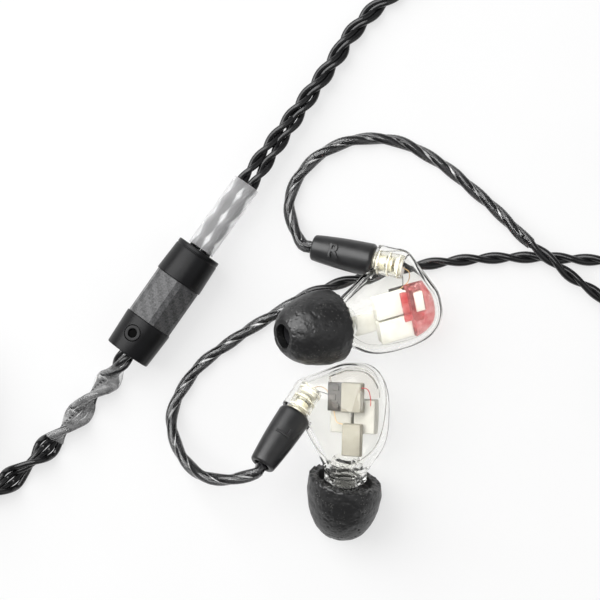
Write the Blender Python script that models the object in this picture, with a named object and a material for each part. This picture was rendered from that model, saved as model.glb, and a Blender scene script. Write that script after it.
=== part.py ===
"""In-ear monitors: two clear earpieces on a detachable Y cable, laid out on a table.

Metres, +Z up. The origin is on the table, under the middle of the two earpieces.
An earpiece is modelled once, as the left one, in a frame of its own: the mouth of its
cable socket is at zero and +Z is the outward normal of its faceplate. The right one is
the mirror image of it in X.
"""

import math

import bmesh
import bpy
from mathutils import Euler, Matrix, Vector

MM = 0.001

# Clearances
SEAT_GAP = 0.3 * MM
FIT_GAP = 0.1 * MM
CORD_GAP = 0.55 * MM

# Earpiece shell
SHELL_WIDTH = 11.76 * MM
SHELL_LENGTH = 16.58 * MM
SHELL_DEPTH = 9.28 * MM
SHELL_FULLNESS = 2.6
SHELL_WALL = 0.8 * MM
SHELL_CENTRE = Vector((SHELL_WIDTH / 2 + 2.59 * MM, 0.0, 1.76 * MM - SHELL_DEPTH / 2))
SEAM_DROP = 2.0 * MM
SEAM_TILT = math.radians(-15.5)
SHOULDER_RADIUS = 2.9 * MM
SHOULDER_DEPTH = 3.7 * MM
BOSS_RADIUS = 2.8 * MM
BOSS_DEPTH = 4.6 * MM

# Nozzle and collar
NOZZLE_FOOT = SHELL_CENTRE + Vector((-1.06 * MM, -SHELL_LENGTH / 2 - 0.71 * MM, -0.39 * MM))
COLLAR_RADIUS = 3.0 * MM
COLLAR_SPREAD = 0.6 * MM
COLLAR_LENGTH = 5.0 * MM
COLLAR_SETBACK = 0.2 * MM
COLLAR_LIP = 0.8 * MM
SPOUT_RADIUS = 2.7 * MM
SPOUT_LENGTH = 2.3 * MM
NOZZLE_RADIUS = 1.6 * MM
NOZZLE_BORE = 1.05 * MM
NOZZLE_LENGTH = 7.2 * MM
NOZZLE_BEAD = 0.15 * MM
NOZZLE_BEAD_LENGTH = 0.6 * MM
NOZZLE_FLANGE_RADIUS = 2.3 * MM
NOZZLE_FLANGE_LENGTH = 0.8 * MM
SCREEN_LENGTH = 0.4 * MM
SCREEN_SETBACK = 0.5 * MM

# Foam tip
TIP_LENGTH = 9.9 * MM
TIP_RADIUS = 6.2 * MM
TIP_NOSE_RADIUS = 2.7 * MM
TIP_MOUTH_RADIUS = 1.8 * MM
TIP_LIP = 1.3 * MM
TIP_RECESS_RADIUS = 4.4 * MM
TIP_RECESS_DEPTH = 1.8 * MM
TIP_CORE_WALL = 0.3 * MM
RIGHT_TIP_STANDOFF = 1.15 * MM
LEFT_TIP_STANDOFF = 1.6 * MM

# Drivers, cradle and board
WOOFER_SIZE = Vector((3.7, 5.6, 2.2)) * MM
WOOFER_BACK = -3.2 * MM
TWEETER_SIZE = Vector((3.5, 4.8, 1.7)) * MM
TWEETER_BACK = 0.3 * MM
MIDRANGE_SIZE = Vector((3.3, 5.2, 1.2)) * MM
MIDRANGE_BACK = -6.7 * MM
TREBLE_SHIFT = 0.4 * MM
CRADLE_SIZE = Vector((8.4, 4.6, 3.0)) * MM
CRADLE_LIP = Vector((5.2, 2.2, 0.5)) * MM
CRADLE_WINDOW = Vector((2.8, 1.3)) * MM
CRADLE_RAIL = 0.5 * MM
BOARD_SIZE = Vector((2.3, 4.6, 0.5)) * MM
DRIVER_BEVEL = 0.25 * MM
DRIVER_DECK = 0.12 * MM

# Socket and plug
SOCKET_WALL = 0.45 * MM
SOCKET_BORE = 1.5 * MM
SOCKET_LENGTH = 4.3 * MM
SOCKET_FLOOR = 1.2 * MM
SOCKET_PIN_HOLE = 0.4 * MM
PLUG_LENGTH = 10.4 * MM
PLUG_RADIUS = 2.75 * MM
PLUG_REAR_RADIUS = 2.1 * MM
PLUG_CHAMFER = 0.4 * MM
PLUG_REAR_CHAMFER = 0.25 * MM
BARREL_RADIUS = 1.2 * MM
BARREL_REACH = 2.9 * MM
BARREL_ROOT = 4.2 * MM
BARREL_BORE = 0.7 * MM
PIN_RADIUS = 0.2 * MM
PIN_REACH = 3.0 * MM
RING_LENGTH = 0.4 * MM
RING_WALL = 0.35 * MM
RING_GROOVE = 0.25 * MM
RING_SPLIT = 0.6 * MM
RING_SETBACK = 0.65 * MM

# Ear cables, main cable and where the cables enter a hole
EAR_CABLE = 2.0 * MM
LEAD_CABLE = 1.75 * MM
MAIN_CABLE = 3.0 * MM
CABLE_HOLE_GAP = 0.3 * MM
CABLE_ENTRY = 1.7 * MM
COIL_ANGLE = math.radians(15.0)
EAR_COIL_RADIUS = 13.1 * MM
MAIN_COIL_RADIUS = 22.1 * MM
LEFT_COIL_CENTRE = Vector((56.6, 34.7, 0.0)) * MM
RIGHT_COIL_CENTRE = Vector((56.6, -1.2, 0.0)) * MM
MAIN_COIL_CENTRE = Vector((-83.5, -1.5, 0.0)) * MM
LEFT_COIL_TURNS = 2.25
RIGHT_COIL_TURNS = 1.5
MAIN_COIL_TURNS = 6.25
TIE_STRAP = 0.4 * MM
TIE_WIDTH = 3.0 * MM

# Splitter and chin slider
SPLITTER_RADIUS = 4.1 * MM
SPLITTER_END_RADIUS = 3.82 * MM
SPLITTER_CAP_LENGTH = 6.07 * MM
SPLITTER_SLEEVE_LENGTH = 7.63 * MM
SPLITTER_BASE_LENGTH = 6.2 * MM
SPLITTER_FLAT = 3.86 * MM
SPLITTER_EDGE = 0.35 * MM
SPLITTER_TURN = math.radians(98.0)
SPLITTER_END_WALL = 2.0 * MM
SPIGOT_RADIUS = 2.6 * MM
SPIGOT_WALL = 0.7 * MM
SPIGOT_ENTRY = 3.0 * MM
SPLICE_LENGTH = 8.0 * MM
SPLITTER_FOOT = Vector((-37.1, 6.5, 0.0)) * MM
SPLITTER_HEADING = Vector((0.575, 0.8185, 0.0)).normalized()
SCREW_RADIUS = 1.3 * MM
SCREW_LENGTH = 1.6 * MM
SCREW_KEY_RADIUS = 0.75 * MM
SCREW_KEY_DEPTH = 0.9 * MM
SCREW_FROM_END = 3.4 * MM
SCREW_LEAN = math.radians(16.5)
LEAD_SPREAD = 0.98 * MM
LEAD_FALL = 0.065
LEAD_STRAIGHT = 39.0 * MM
SLIDER_LENGTH = 13.0 * MM
SLIDER_WALL = 0.25 * MM
SLIDER_GAP = 0.15 * MM

# Jack
JACK_FOOT = MAIN_COIL_CENTRE + Vector((-MAIN_COIL_RADIUS, 17.3 * MM, 0.0))
JACK_RADIUS = 3.4 * MM
JACK_HOUSING_LENGTH = 18.0 * MM
JACK_BOOT_LENGTH = 9.0 * MM
JACK_BOOT_RADIUS = 2.3 * MM
JACK_PIN_RADIUS = 1.75 * MM
JACK_CORE_RADIUS = 0.9 * MM
JACK_SLEEVE_LENGTH = 7.9 * MM
JACK_RING_LENGTH = 1.9 * MM
JACK_TIP_LENGTH = 3.2 * MM
JACK_INSULATOR_LENGTH = 0.5 * MM
JACK_TAIL = 4.0 * MM

# How the pieces lie: each earpiece by its socket mouth and its turn
CONNECTOR_AXIS = Vector((0.334, 0.771, -0.543)).normalized()
NOZZLE_AXIS = Vector((-0.139, -0.957, -0.253)).normalized()
LEFT_MOUTH = Vector((-9.5, -2.88, 8.03)) * MM
LEFT_TURN = Euler([math.radians(angle) for angle in (2.7, -21.9, -2.3)])
RIGHT_MOUTH = Vector((3.29, 21.48, 5.18)) * MM
RIGHT_TURN = Euler([math.radians(angle) for angle in (-164.3, -15.9, 101.7)])

# Free stretches of cable, in millimetres, from the plug or splitter to the coil
RIGHT_EAR_ROUTE = (
    (-9.45, 25.8, 1.8), (-10.3, 27.85, 1.45), (-10.8, 30.8, 1.1), (-10.0, 33.9, 1.05),
    (-8.5, 36.3, 1.05), (-6.45, 38.45, 1.05), (-3.95, 40.0, 1.05), (-1.3, 41.1, 1.05),
    (1.65, 41.6, 1.05), (4.7, 41.55, 1.05), (7.8, 40.9, 1.05), (10.8, 39.45, 1.05),
    (13.75, 37.7, 1.05), (16.4, 35.75, 1.1), (19.15, 33.35, 1.3), (21.95, 30.9, 1.8),
    (24.6, 28.3, 2.4), (27.1, 25.7, 3.1), (31.2, 22.2, 3.6), (35.5, 18.8, 3.1),
    (38.3, 17.0, 2.7), (40.5, 15.2, 2.4), (42.5, 12.6, 2.1), (43.5, 8.8, 1.8),
)
LEFT_EAR_ROUTE = (
    (-20.2, -13.5, 10.9), (-23.5, -13.4, 9.0), (-26.2, -12.2, 6.8), (-28.7, -9.2, 4.1),
    (-30.0, -5.0, 2.0), (-29.4, -1.6, 1.2), (-27.5, 1.8, 1.05), (-24.8, 5.0, 1.05),
    (-20.4, 8.3, 1.05), (-16.5, 10.9, 1.05), (-12.9, 13.0, 1.05), (-9.0, 15.4, 1.05),
    (-5.7, 16.9, 1.05), (-1.3, 18.3, 1.05), (5.0, 19.9, 1.05), (10.5, 20.9, 1.05),
    (16.15, 21.6, 1.05), (19.55, 21.9, 1.05), (22.95, 22.1, 1.05), (28.7, 22.2, 1.05),
    (35.3, 21.95, 1.05), (40.2, 21.7, 1.2), (46.5, 21.6, 1.6),
)
RIGHT_LEAD_ROUTE = (
    (-2.5, 58.4, 1.4), (-0.3, 61.0, 1.2), (2.2, 63.6, 1.1), (4.1, 65.3, 1.06),
    (6.7, 67.3, 1.05), (11.0, 69.8, 1.05), (16.9, 71.8, 1.05), (23.8, 72.5, 1.05),
    (31.5, 72.5, 1.05), (40.5, 72.0, 1.05), (50.5, 70.2, 1.05), (60.5, 65.8, 1.05),
    (68.5, 57.8, 1.05), (72.9, 47.8, 1.05), (73.8, 37.8, 1.05), (73.8, 29.8, 1.1),
    (73.3, 20.8, 1.7), (71.7, 12.8, 2.9), (70.1, 6.8, 3.9),
)
LEFT_LEAD_ROUTE = (
    (-0.5, 56.9, 1.4), (1.7, 59.4, 1.2), (3.9, 61.8, 1.1), (5.7, 63.3, 1.06),
    (8.1, 65.1, 1.05), (12.0, 67.3, 1.05), (17.5, 69.2, 1.05), (23.8, 69.9, 1.05),
    (31.5, 69.8, 1.05), (40.5, 69.0, 1.05), (49.5, 66.6, 1.08), (58.5, 62.0, 1.15),
    (65.0, 55.8, 1.5), (68.7, 47.8, 2.6), (69.7, 40.8, 3.9),
)
MAIN_ROUTE = (
    (-40.3, 2.1, 2.7), (-43.0, -0.5, 1.9), (-45.4, -3.7, 1.5), (-48.4, -6.8, 1.5),
    (-50.7, -9.2, 1.5), (-53.4, -11.7, 1.5), (-56.4, -14.2, 1.5), (-59.5, -16.8, 1.5),
    (-63.5, -19.7, 1.6), (-69.5, -22.4, 1.9), (-75.5, -23.4, 2.1),
)
TAIL_ROUTE = ((-105.6, 13.5, 3.45), (-105.6, 10.0, 4.1), (-105.6, 6.0, 5.2))


def clear_scene():
    """Remove every object of the open scene."""
    for obj in list(bpy.data.objects):
        bpy.data.objects.remove(obj, do_unlink=True)


def make_finish(name, colour, roughness, metallic=0.0, transmission=0.0):
    """Return a Principled material of one colour."""
    material = bpy.data.materials.new(name)
    material.use_nodes = True
    shader = material.node_tree.nodes["Principled BSDF"]
    shader.inputs["Base Color"].default_value = (*colour, 1.0)
    shader.inputs["Roughness"].default_value = roughness
    shader.inputs["Metallic"].default_value = metallic
    shader.inputs["Transmission Weight"].default_value = transmission
    return material


def make_object(name, form, finish=None):
    """Turn a bmesh into a named, smooth-shaded object and link it."""
    mesh = bpy.data.meshes.new(name)
    form.to_mesh(mesh)
    form.free()
    mesh.shade_smooth()
    mesh.set_sharp_from_angle(angle=math.radians(35.0))
    if finish:
        mesh.materials.append(finish)
    obj = bpy.data.objects.new(name, mesh)
    bpy.context.collection.objects.link(obj)
    return obj


def make_empty(name, matrix, parent=None):
    """Add an empty that carries pieces."""
    empty = bpy.data.objects.new(name, None)
    empty.empty_display_size = 5.0 * MM
    bpy.context.collection.objects.link(empty)
    empty.parent = parent
    empty.matrix_local = matrix
    return empty


def along(point, direction):
    """Return the matrix that puts local zero at a point and local +Z along a direction."""
    turn = direction.to_track_quat("Z", "Y").to_matrix().to_4x4()
    return Matrix.Translation(point) @ turn


def carry(obj, parent, matrix=None):
    """Parent a piece and give it its place in the parent's frame."""
    obj.parent = parent
    obj.matrix_local = matrix or Matrix.Identity(4)
    return obj


def turned(name, profile, finish, sides=16):
    """Spin a profile of (height, radius) points about Z.

    A profile that starts and ends on the axis is left open there. Any other is closed.
    """
    form = bmesh.new()
    verts = [form.verts.new((radius, 0.0, height)) for height, radius in profile]
    for first, second in zip(verts, verts[1:]):
        form.edges.new((first, second))
    if profile[0][1] > 0.0 or profile[-1][1] > 0.0:
        form.edges.new((verts[-1], verts[0]))
    geometry = form.verts[:] + form.edges[:]
    bmesh.ops.spin(form, geom=geometry, axis=(0, 0, 1), cent=(0, 0, 0), dvec=(0, 0, 0),
                   angle=math.tau, steps=sides, use_merge=True, use_duplicate=False)
    bmesh.ops.remove_doubles(form, verts=form.verts, dist=1e-7)
    bmesh.ops.recalc_face_normals(form, faces=form.faces)
    return make_object(name, form, finish)


def block(name, size, centre, finish=None, bevel=0.0):
    """Return a box with bevelled edges."""
    form = bmesh.new()
    bmesh.ops.create_cube(form, size=1.0)
    bmesh.ops.scale(form, vec=size, verts=form.verts)
    if bevel > 0.0:
        bmesh.ops.bevel(form, geom=form.edges[:], offset=bevel, segments=1, profile=0.5,
                        affect="EDGES", material=-1)
    bmesh.ops.translate(form, vec=centre, verts=form.verts)
    return make_object(name, form, finish)


def rod(name, start, direction, length, radius, end_radius=None, sides=24):
    """Return a straight round bar or cone from a point along a direction."""
    form = bmesh.new()
    middle = start + direction * (length / 2)
    tip = radius if end_radius is None else end_radius
    bmesh.ops.create_cone(form, cap_ends=True, segments=sides, radius1=radius, radius2=tip,
                          depth=length, matrix=along(middle, direction))
    return make_object(name, form)


def carve(target, tool, operation):
    """Join, cut or trim a piece with a tool, and take the tool away."""
    modifier = target.modifiers.new(operation, "BOOLEAN")
    modifier.operation = operation
    modifier.solver = "EXACT"
    modifier.object = tool
    bpy.context.view_layer.update()
    graph = bpy.context.evaluated_depsgraph_get()
    baked = bpy.data.meshes.new_from_object(target.evaluated_get(graph))
    target.modifiers.clear()
    target.data = baked
    bpy.data.objects.remove(tool, do_unlink=True)
    return target


def blend(start, end, share):
    """Return an eased value between two values."""
    eased = share * share * (3.0 - 2.0 * share)
    return start + (end - start) * eased


def smooth_line(points, spacing):
    """Return points at an even spacing on a smooth curve through the route's points."""
    ends = [points[0] * 2 - points[1]] + list(points) + [points[-1] * 2 - points[-2]]
    fine = []
    steps = 24
    for before, start, end, after in zip(ends, ends[1:], ends[2:], ends[3:]):
        for step in range(steps):
            t = step / steps
            fine.append(0.5 * (2 * start + (end - before) * t
                               + (2 * before - 5 * start + 4 * end - after) * t * t
                               + (3 * start - before - 3 * end + after) * t ** 3))
    fine.append(points[-1].copy())
    reach = [0.0]
    for first, second in zip(fine, fine[1:]):
        reach.append(reach[-1] + (second - first).length)
    count = max(2, round(reach[-1] / spacing))
    line = []
    place = 0
    for number in range(count + 1):
        goal = reach[-1] * number / count
        while place < len(reach) - 2 and reach[place + 1] < goal:
            place += 1
        span = max(reach[place + 1] - reach[place], 1e-12)
        line.append(fine[place].lerp(fine[place + 1], (goal - reach[place]) / span))
    return line


def line_length(points):
    """Return the length of a line of points."""
    return sum((second - first).length for first, second in zip(points, points[1:]))


def tube(name, points, diameter, finish, sides_step):
    """Return a capped round tube along a line of points."""
    curve = bpy.data.curves.new(name, "CURVE")
    curve.dimensions = "3D"
    curve.bevel_depth = diameter / 2
    curve.bevel_resolution = sides_step
    curve.use_fill_caps = True
    curve.materials.append(finish)
    spline = curve.splines.new("POLY")
    spline.points.add(len(points) - 1)
    for slot, point in zip(spline.points, points):
        slot.co = (*point, 1.0)
    obj = bpy.data.objects.new(name, curve)
    bpy.context.collection.objects.link(obj)
    return obj


def coil_step(diameter):
    """Return the step between a coil's turns, wide enough where it climbs past a neighbour."""
    return (diameter + CORD_GAP) / 0.9


def coil_line(centre, start_angle, turns, hand, radius, diameter):
    """Return the points of a coil that spirals in, climbs a layer and spirals out again.

    The ends run straight for one tube diameter along the tangent.
    """
    step = coil_step(diameter)
    inward = (turns - 0.5) / 2
    base = diameter / 2 + TIE_STRAP + SEAT_GAP
    count = round(turns * math.tau / COIL_ANGLE)
    line = []
    for number in range(count + 1):
        turn = turns * number / count
        climb = min(max((turn - inward) / 0.5, 0.0), 1.0)
        reach = radius - step * min(turn, inward) + step * max(turn - inward - 0.5, 0.0)
        angle = start_angle + hand * math.tau * turn
        height = blend(base, base + step, climb)
        line.append(centre + Vector((reach * math.cos(angle), reach * math.sin(angle), height)))
    end_angle = start_angle + hand * math.tau * turns
    entry = Vector((-math.sin(start_angle), math.cos(start_angle), 0.0)) * hand
    leave = Vector((-math.sin(end_angle), math.cos(end_angle), 0.0)) * hand
    return [line[0] - entry * diameter] + line + [line[-1] + leave * diameter]


def least_gap(points, diameter):
    """Return the least gap between a tube and itself, away from its own neighbours."""
    skip = round(math.pi / COIL_ANGLE)
    nearest = min((points[i] - points[j]).length
                  for i in range(len(points)) for j in range(i + skip, len(points)))
    return nearest - diameter


def coil_tie(name, centre, angle, turns, radius, diameter, finish):
    """Return the strap that is wrapped round a coil's turns at one place."""
    step = coil_step(diameter)
    inner = radius - step * (turns - 0.5) / 2 - diameter / 2 - SEAT_GAP
    outer = radius + diameter / 2 + SEAT_GAP
    height = step + diameter + 2 * SEAT_GAP
    hole = Vector((outer - inner, 3 * TIE_WIDTH, height))
    strap = Vector((hole.x + 2 * TIE_STRAP, TIE_WIDTH, height + 2 * TIE_STRAP))
    middle = Vector(((inner + outer) / 2, 0.0, strap.z / 2))
    tie = block(name, strap, middle, finish, TIE_STRAP / 2)
    carve(tie, block("tie_hole", hole, middle), "DIFFERENCE")
    tie.matrix_local = Matrix.Translation(centre) @ Matrix.Rotation(angle, 4, "Z")
    return tie


class Earpiece:
    """One clear shell with its drivers, socket, nozzle and tip, and the cable's plug."""

    def __init__(self, side, hand, mouth, turn, standoff, finishes):
        self.side = side
        self.hand = hand
        self.finishes = finishes
        self.standoff = standoff
        self.connector = self.flip(CONNECTOR_AXIS)
        self.nozzle = self.flip(NOZZLE_AXIS)
        self.foot = self.flip(NOZZLE_FOOT)
        self.centre = self.flip(SHELL_CENTRE)
        self.frame = Matrix.Translation(mouth) @ turn.to_matrix().to_4x4()
        self.empty = make_empty(f"{side}_earpiece", self.frame)

    def flip(self, vector):
        """Mirror a vector of the left earpiece for this side."""
        return Vector((vector.x * self.hand, vector.y, vector.z))

    def name(self, piece):
        """Return a piece's name with its side."""
        return f"{self.side}_{piece}"

    def hull(self, name, inset):
        """Return the rounded body that runs from the faceplate's oval to the socket's shoulder."""
        form = bmesh.new()
        halves = Vector((SHELL_WIDTH, SHELL_LENGTH, SHELL_DEPTH)) / 2
        halves = halves - Vector((inset, inset, inset))
        shoulder = self.connector * SHOULDER_DEPTH
        ball = SHOULDER_RADIUS - inset
        body = bmesh.ops.create_uvsphere(form, u_segments=22, v_segments=12, radius=1.0)
        for vert in body["verts"]:
            reach = sum(abs(part) ** SHELL_FULLNESS for part in vert.co)
            vert.co = self.centre + vert.co * halves * reach ** (-1.0 / SHELL_FULLNESS)
        bmesh.ops.create_uvsphere(form, u_segments=22, v_segments=12, radius=ball,
                                  matrix=Matrix.Translation(shoulder))
        sideways = self.nozzle.cross(Vector((0.0, 0.0, 1.0))).normalized()
        end = self.foot - self.nozzle * (COLLAR_SETBACK + inset)
        for way in (-1, 1):
            ring = along(end + sideways * COLLAR_SPREAD * way, self.nozzle)
            bmesh.ops.create_circle(form, cap_ends=False, segments=22, matrix=ring,
                                    radius=COLLAR_RADIUS - inset)
        bmesh.ops.delete(form, geom=form.edges[:], context="EDGES_FACES")
        made = bmesh.ops.convex_hull(form, input=form.verts[:])
        inside = [item for item in made["geom_interior"] if isinstance(item, bmesh.types.BMVert)]
        bmesh.ops.delete(form, geom=inside, context="VERTS")
        bmesh.ops.recalc_face_normals(form, faces=form.faces)
        return make_object(name, form)

    def outer_form(self, name):
        """Return the closed outside of the shell, with its socket boss and nozzle spout."""
        form = self.hull(name, 0.0)
        boss = rod("boss", Vector(), self.connector, BOSS_DEPTH, BOSS_RADIUS)
        carve(form, boss, "UNION")
        root = self.foot - self.nozzle * COLLAR_LENGTH / 2
        spout = rod("spout", root, self.nozzle, COLLAR_LENGTH / 2 + SPOUT_LENGTH, SPOUT_RADIUS)
        return carve(form, spout, "UNION")

    def shell_half(self, name, above, finish):
        """Return the half of the shell on one side of the seam, hollow and bored."""
        half = self.outer_form(self.name(name))
        size = 4 * SHELL_LENGTH
        shift = size / 2 + FIT_GAP / 2
        middle = Vector((0.0, 0.0, shift if above else -shift))
        keep = block("keep", Vector((size, size, size)), middle)
        seam = Matrix.Translation((0.0, 0.0, -SEAM_DROP))
        keep.matrix_local = seam @ Matrix.Rotation(SEAM_TILT, 4, "X")
        carve(half, keep, "INTERSECT")
        carve(half, self.hull("hollow", SHELL_WALL), "DIFFERENCE")
        bore = SOCKET_BORE + SOCKET_WALL + SEAT_GAP
        before = self.connector * -SEAT_GAP
        carve(half, rod("socket_bore", before, self.connector, BOSS_DEPTH + 1.4 * MM, bore),
              "DIFFERENCE")
        room = rod("plug_room", self.connector * -FIT_GAP, -self.connector, PLUG_LENGTH,
                   PLUG_RADIUS + SEAT_GAP)
        carve(half, room, "DIFFERENCE")
        neck = NOZZLE_RADIUS + SEAT_GAP
        start = self.foot - self.nozzle * COLLAR_LENGTH / 2
        carve(half, rod("nozzle_bore", start, self.nozzle, COLLAR_LENGTH, neck), "DIFFERENCE")
        room = rod("flange_room", start, self.nozzle, COLLAR_LENGTH / 2 - COLLAR_LIP,
                   NOZZLE_FLANGE_RADIUS + SEAT_GAP)
        carve(half, room, "DIFFERENCE")
        half.data.materials.clear()
        half.data.materials.append(finish)
        return carry(half, self.empty)

    def turned_piece(self, name, profile, finish, point, direction, sides=12):
        """Spin a small piece and put it on one of the earpiece's axes."""
        piece = turned(self.name(name), profile, finish, sides)
        return carry(piece, self.empty, along(point, direction))

    def inner_block(self, name, size, offset, finish):
        """Put a bevelled can in the shell, by its offset from the shell's centre."""
        centre = self.centre + self.flip(offset)
        piece = block(self.name(name), size, centre, finish, DRIVER_BEVEL)
        return carry(piece, self.empty)

    def build_shell(self):
        """Make the two clear halves."""
        self.shell_half("outer_shell", True, self.finishes["clear"])
        self.shell_half("inner_shell", False, self.finishes["clear"])

    def build_drivers(self):
        """Make the cans on both sides of a deck across the shell, the cradle and the board."""
        steel = self.finishes["steel"]
        low = DRIVER_DECK - SEAT_GAP / 2
        high = DRIVER_DECK + SEAT_GAP / 2
        spread = (WOOFER_SIZE.x + SEAT_GAP) / 2
        woofer_at = Vector((spread, WOOFER_BACK + WOOFER_SIZE.y / 2, low - WOOFER_SIZE.z / 2))
        for letter, way in (("a", -1), ("b", 1)):
            place = Vector((way * spread, woofer_at.y, woofer_at.z))
            self.inner_block(f"woofer_{letter}", WOOFER_SIZE, place, steel)
        tweeter = Vector((TREBLE_SHIFT, TWEETER_BACK + TWEETER_SIZE.y / 2,
                          high + TWEETER_SIZE.z / 2))
        self.inner_block("tweeter", TWEETER_SIZE, tweeter, steel)
        midrange = Vector((TREBLE_SHIFT, MIDRANGE_BACK + MIDRANGE_SIZE.y / 2,
                           high + MIDRANGE_SIZE.z / 2))
        self.inner_block("midrange", MIDRANGE_SIZE, midrange, steel)
        board_x = tweeter.x - TWEETER_SIZE.x / 2 - SEAT_GAP - BOARD_SIZE.x / 2
        board = Vector((board_x, tweeter.y, high + BOARD_SIZE.z / 2))
        self.inner_block("crossover_board", BOARD_SIZE, board, self.finishes["board"])
        self.build_cradle(low)

    def build_cradle(self, low):
        """Make the cradle behind the woofers, with a lip over them and a window.

        It is trimmed to follow the inside of the shell.
        """
        start = WOOFER_BACK + WOOFER_SIZE.y + SEAT_GAP
        middle = Vector((0.0, start + CRADLE_SIZE.y / 2, low - CRADLE_SIZE.z / 2))
        cradle = block(self.name("driver_cradle"), CRADLE_SIZE, self.centre + middle)
        top = low - WOOFER_SIZE.z - SEAT_GAP
        lip_x = CRADLE_LIP.x / 2 - CRADLE_SIZE.x / 2
        lip = Vector((lip_x, start + CRADLE_RAIL - CRADLE_LIP.y / 2, top - CRADLE_LIP.z / 2))
        carve(cradle, block("lip", CRADLE_LIP, self.centre + self.flip(lip)), "UNION")
        window = Vector((CRADLE_WINDOW.x, CRADLE_WINDOW.y, CRADLE_SIZE.z * 3))
        hole = Vector((lip_x, start + CRADLE_RAIL + CRADLE_WINDOW.y / 2, middle.z))
        carve(cradle, block("window", window, self.centre + self.flip(hole)), "DIFFERENCE")
        carve(cradle, self.hull("room", SHELL_WALL + SEAT_GAP), "INTERSECT")
        cradle.data.materials.clear()
        cradle.data.materials.append(self.finishes["red"])
        carry(cradle, self.empty)

    def build_nozzle(self):
        """Make the nozzle tube and the screen in its end."""
        flange = -COLLAR_LIP - SEAT_GAP
        root = flange - NOZZLE_FLANGE_LENGTH
        bead = NOZZLE_LENGTH - NOZZLE_BEAD_LENGTH
        profile = (
            (root, NOZZLE_BORE), (root, NOZZLE_FLANGE_RADIUS), (flange, NOZZLE_FLANGE_RADIUS),
            (flange, NOZZLE_RADIUS), (bead - NOZZLE_BEAD, NOZZLE_RADIUS),
            (bead, NOZZLE_RADIUS + NOZZLE_BEAD), (NOZZLE_LENGTH, NOZZLE_RADIUS + NOZZLE_BEAD),
            (NOZZLE_LENGTH, NOZZLE_BORE),
        )
        self.turned_piece("nozzle_tube", profile, self.finishes["smoke"], self.foot,
                          self.nozzle, 16)
        face = NOZZLE_LENGTH - SCREEN_SETBACK
        radius = NOZZLE_BORE - FIT_GAP
        screen = ((face - SCREEN_LENGTH, 0.0), (face - SCREEN_LENGTH, radius),
                  (face, radius), (face, 0.0))
        self.turned_piece("nozzle_screen", screen, self.finishes["steel"], self.foot, self.nozzle)

    def build_tip(self):
        """Make the foam tip and the core tube that grips the nozzle."""
        bore = NOZZLE_RADIUS + NOZZLE_BEAD + FIT_GAP
        core = bore + TIP_CORE_WALL
        pocket = core + FIT_GAP * 1.5
        shelf = TIP_LENGTH - TIP_LIP
        back = self.foot + self.nozzle * self.standoff
        holder = make_empty(self.name("tip"), along(back, self.nozzle), self.empty)
        last = math.acos(TIP_NOSE_RADIUS / TIP_RADIUS)
        profile = [(shelf, TIP_MOUTH_RADIUS), (shelf, pocket), (TIP_RECESS_DEPTH, pocket),
                   (TIP_RECESS_DEPTH, TIP_RECESS_RADIUS - 0.2 * MM), (0.0, TIP_RECESS_RADIUS),
                   (0.0, TIP_RADIUS - 0.5 * MM)]
        for number in range(1, 9):
            angle = last * number / 8
            height = TIP_LENGTH * math.sin(angle) / math.sin(last)
            profile.append((height, TIP_RADIUS * math.cos(angle)))
        profile.append((TIP_LENGTH, TIP_MOUTH_RADIUS))
        foam = turned(self.name("tip_foam"), profile, self.finishes["foam"], 24)
        carry(foam, holder)
        start = TIP_RECESS_DEPTH - SEAT_GAP
        end = shelf - SEAT_GAP
        tube_profile = ((start, bore), (start, core), (end, core), (end, bore))
        carry(turned(self.name("tip_core"), tube_profile, self.finishes["smoke"], 16), holder)

    def build_socket(self):
        """Make the socket in the boss and the insulator at its floor."""
        outside = SOCKET_BORE + SOCKET_WALL
        start = SEAT_GAP
        end = start + SOCKET_LENGTH
        shell = ((start, SOCKET_BORE), (start, outside), (end, outside), (end, SOCKET_BORE))
        origin = Vector()
        self.turned_piece("socket_shell", shell, self.finishes["gold"], origin, self.connector, 16)
        floor = end - SOCKET_FLOOR
        disc = SOCKET_BORE - FIT_GAP
        insulator = ((floor, SOCKET_PIN_HOLE), (floor, disc), (end, disc), (end, SOCKET_PIN_HOLE))
        self.turned_piece("socket_insulator", insulator, self.finishes["white"], origin,
                          self.connector)

    def build_plug(self):
        """Make the plug on the cable's end: housing, barrel, pin and snap ring."""
        away = -self.connector
        holder = make_empty(self.name("plug"), along(Vector(), away), self.empty)
        front = SEAT_GAP
        rear = front + PLUG_LENGTH
        pocket = BARREL_RADIUS + FIT_GAP
        hole = EAR_CABLE / 2 + CABLE_HOLE_GAP
        floor = BARREL_ROOT + SEAT_GAP
        neck = rear - CABLE_ENTRY - SEAT_GAP
        housing = (
            (floor, 0.0), (floor, pocket), (front, pocket),
            (front, PLUG_RADIUS - PLUG_CHAMFER), (front + PLUG_CHAMFER, PLUG_RADIUS),
            (rear - PLUG_REAR_CHAMFER, PLUG_REAR_RADIUS),
            (rear, PLUG_REAR_RADIUS - PLUG_REAR_CHAMFER), (rear, hole), (neck, hole),
            (neck, 0.0),
        )
        carry(turned(self.name("plug_housing"), housing, self.finishes["black"], 20), holder)
        groove_end = -BARREL_REACH + RING_SETBACK
        groove = groove_end + RING_LENGTH + FIT_GAP
        waist = BARREL_RADIUS - RING_GROOVE
        grip = PIN_RADIUS + FIT_GAP
        barrel = (
            (BARREL_ROOT, grip), (BARREL_ROOT, BARREL_RADIUS), (groove, BARREL_RADIUS),
            (groove, waist), (groove_end, waist), (groove_end, BARREL_RADIUS),
            (-BARREL_REACH, BARREL_RADIUS), (-BARREL_REACH, BARREL_BORE), (0.0, BARREL_BORE),
            (0.0, grip),
        )
        carry(turned(self.name("plug_barrel"), barrel, self.finishes["gold"], 16), holder)
        pin = ((BARREL_ROOT, 0.0), (BARREL_ROOT, PIN_RADIUS), (-PIN_REACH, PIN_RADIUS),
               (-PIN_REACH, 0.0))
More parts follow.
